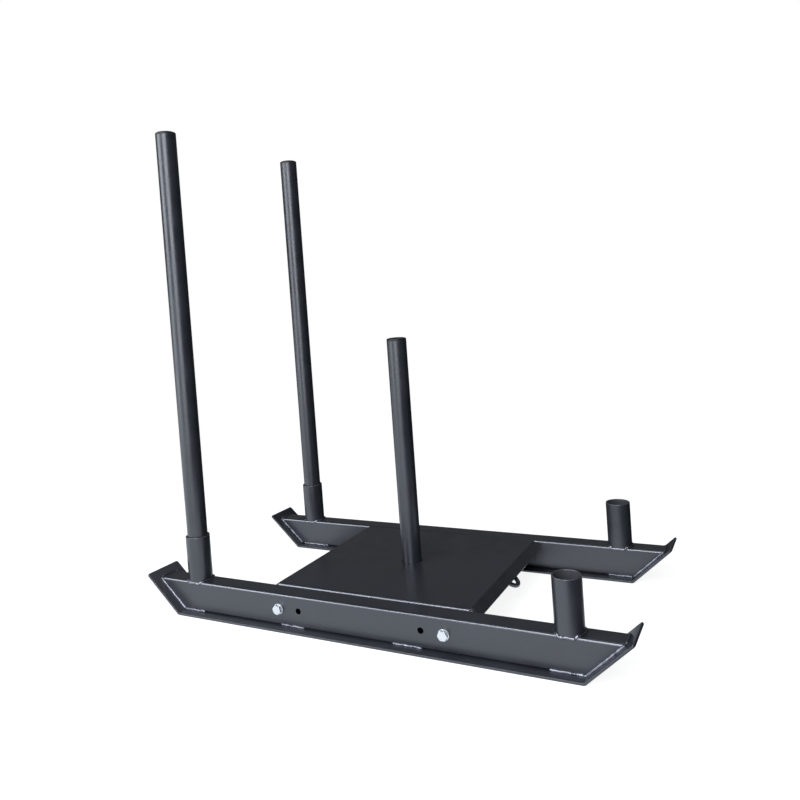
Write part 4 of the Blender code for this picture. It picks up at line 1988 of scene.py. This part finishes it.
    def mirrored_floor(self, tree: NodeTree, place: NodeSocket) -> NodeSocket:
        """Work out how reflections show the floor: pale in front of the sled and beside it, else dark, with a
        painted shade under the deck.

        Args:
            tree: the floor's tree.
            place: the point's place on the floor.

        Returns:
            The shader that they show.
        """
        parts = add_node(tree, "ShaderNodeSeparateXYZ", {0: place}).outputs
        # Painted shade: the floor's glow in reflections is darkened under the deck and behind it, where the
        # sled's shadow would fall.
        offset = {0: parts["X"], 1: self.shade_middle}
        offset = add_node(tree, "ShaderNodeMath", offset, operation="SUBTRACT").outputs[0]
        offset = add_node(tree, "ShaderNodeMath", {0: offset}, operation="ABSOLUTE").outputs[0]
        beside = brightness(tree, [(offset, self.shade_length)])
        before = brightness(tree, [(parts["Y"], self.shade_side)])
        outside = add_node(tree, "ShaderNodeMath", {0: beside, 1: before}, operation="MAXIMUM").outputs[0]
        ramps = [(parts["Y"], self.back_fade), (parts["X"], self.end_fade), (outside, self.shade_share)]
        light = {"Color": linear(self.mirrored_colour), "Strength": brightness(tree, ramps)}
        return add_node(tree, "ShaderNodeEmission", light).outputs[0]

    def build_world(self) -> None:
        """Build the backdrop: white to the camera, dark with one band in reflections, and a weak fill."""
        world = bpy.data.worlds.new("white_backdrop")
        world.use_nodes = True
        bpy.context.scene.world = world
        tree = world.node_tree
        tree.nodes.clear()
        direction = add_node(tree, "ShaderNodeTexCoord").outputs["Generated"]
        height = add_node(tree, "ShaderNodeSeparateXYZ", {0: direction}).outputs["Z"]
        both = {0: direction, 1: self.band_direction}
        behind = add_node(tree, "ShaderNodeVectorMath", both, operation="DOT_PRODUCT").outputs["Value"]
        ramps = [(height, self.band_rise), (height, self.band_fall), (behind, self.band_reach)]
        band = brightness(tree, ramps)
        mirror = add_node(tree, "ShaderNodeMath", {0: band, 1: self.mirror_dark}, operation="ADD").outputs[0]
        camera, mirrored = shown_rays(tree)
        unseen = {"Factor": mirrored, VALUE_A: self.fill, VALUE_B: mirror}
        unseen = add_node(tree, "ShaderNodeMix", unseen, data_type="FLOAT").outputs[0]
        strength = {"Factor": camera, VALUE_A: unseen, VALUE_B: 1.0}
        strength = add_node(tree, "ShaderNodeMix", strength, data_type="FLOAT").outputs[0]
        backdrop = {"Color": (1.0, 1.0, 1.0, 1.0), "Strength": strength}
        backdrop = add_node(tree, "ShaderNodeBackground", backdrop).outputs[0]
        add_node(tree, "ShaderNodeOutputWorld", {"Surface": backdrop})

    def build_camera(self) -> None:
        """Build the photograph's camera, worked out from points measured on it."""
        back = Vector(
            (
                math.sin(self.azimuth) * math.cos(self.elevation),
                -math.cos(self.azimuth) * math.cos(self.elevation),
                math.sin(self.elevation),
            )
        )
        right = (-back).cross(Vector((0, 0, 1))).normalized()
        up = back.cross(right)
        turned_right = right * math.cos(self.roll) + up * math.sin(self.roll)
        turned_up = up * math.cos(self.roll) - right * math.sin(self.roll)
        place = Vector(self.target) + back * self.distance
        camera = bpy.data.cameras.new("photo_camera")
        camera.sensor_width = SENSOR_WIDTH_MM
        camera.lens = self.focal_pixels * SENSOR_WIDTH_MM / PHOTO_PIXELS
        camera.shift_x = (PHOTO_PIXELS / 2 - self.middle_pixels[0]) / PHOTO_PIXELS
        camera.shift_y = (self.middle_pixels[1] - PHOTO_PIXELS / 2) / PHOTO_PIXELS
        obj = bpy.data.objects.new("photo_camera", camera)
        obj.matrix_world = Matrix(
            (
                (turned_right.x, turned_up.x, back.x, place.x),
                (turned_right.y, turned_up.y, back.y, place.y),
                (turned_right.z, turned_up.z, back.z, place.z),
                (0, 0, 0, 1),
            )
        )
        bpy.context.scene.collection.objects.link(obj)
        bpy.context.scene.camera = obj


def main() -> None:
    """Build the sled's sub-assemblies in order, then the studio, and report each piece."""
    logging.basicConfig(level=logging.INFO, format="%(message)s")
    noise.seed_set(SWAY_SEED)
    # How far round each bolt's head stopped, in radians.
    turns = {
        (Side.RIGHT, End.REAR): 0.21,
        (Side.RIGHT, End.FRONT): 0.55,
        (Side.LEFT, End.REAR): 0.84,
        (Side.LEFT, End.FRONT): 0.37,
    }
    sled = [
        Runner(Side.RIGHT),
        Runner(Side.LEFT),
        Deck(),
        LiftOutTube("right_push_pole", "right_pole_cap", "right_handle_pole", Body.RIGHT_POLE),
        LiftOutTube("left_push_pole", "left_pole_cap", "left_handle_pole", Body.LEFT_POLE),
        LiftOutTube("weight_post", "post_cap", "plate_post", Body.POST),
    ]
    sled += [BoltedJoint(side, end, turn) for (side, end), turn in turns.items()]
    for part in sled:
        for piece in part.build():
            logging.info("%s: %d faces", piece.name, len(piece.data.polygons))
    left_over = [name for name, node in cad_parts.items() if not node.hide_render]
    logging.info("CAD nodes still shown: %s", left_over or "none")
    Studio().build()


if __name__ == "__main__":
    main()
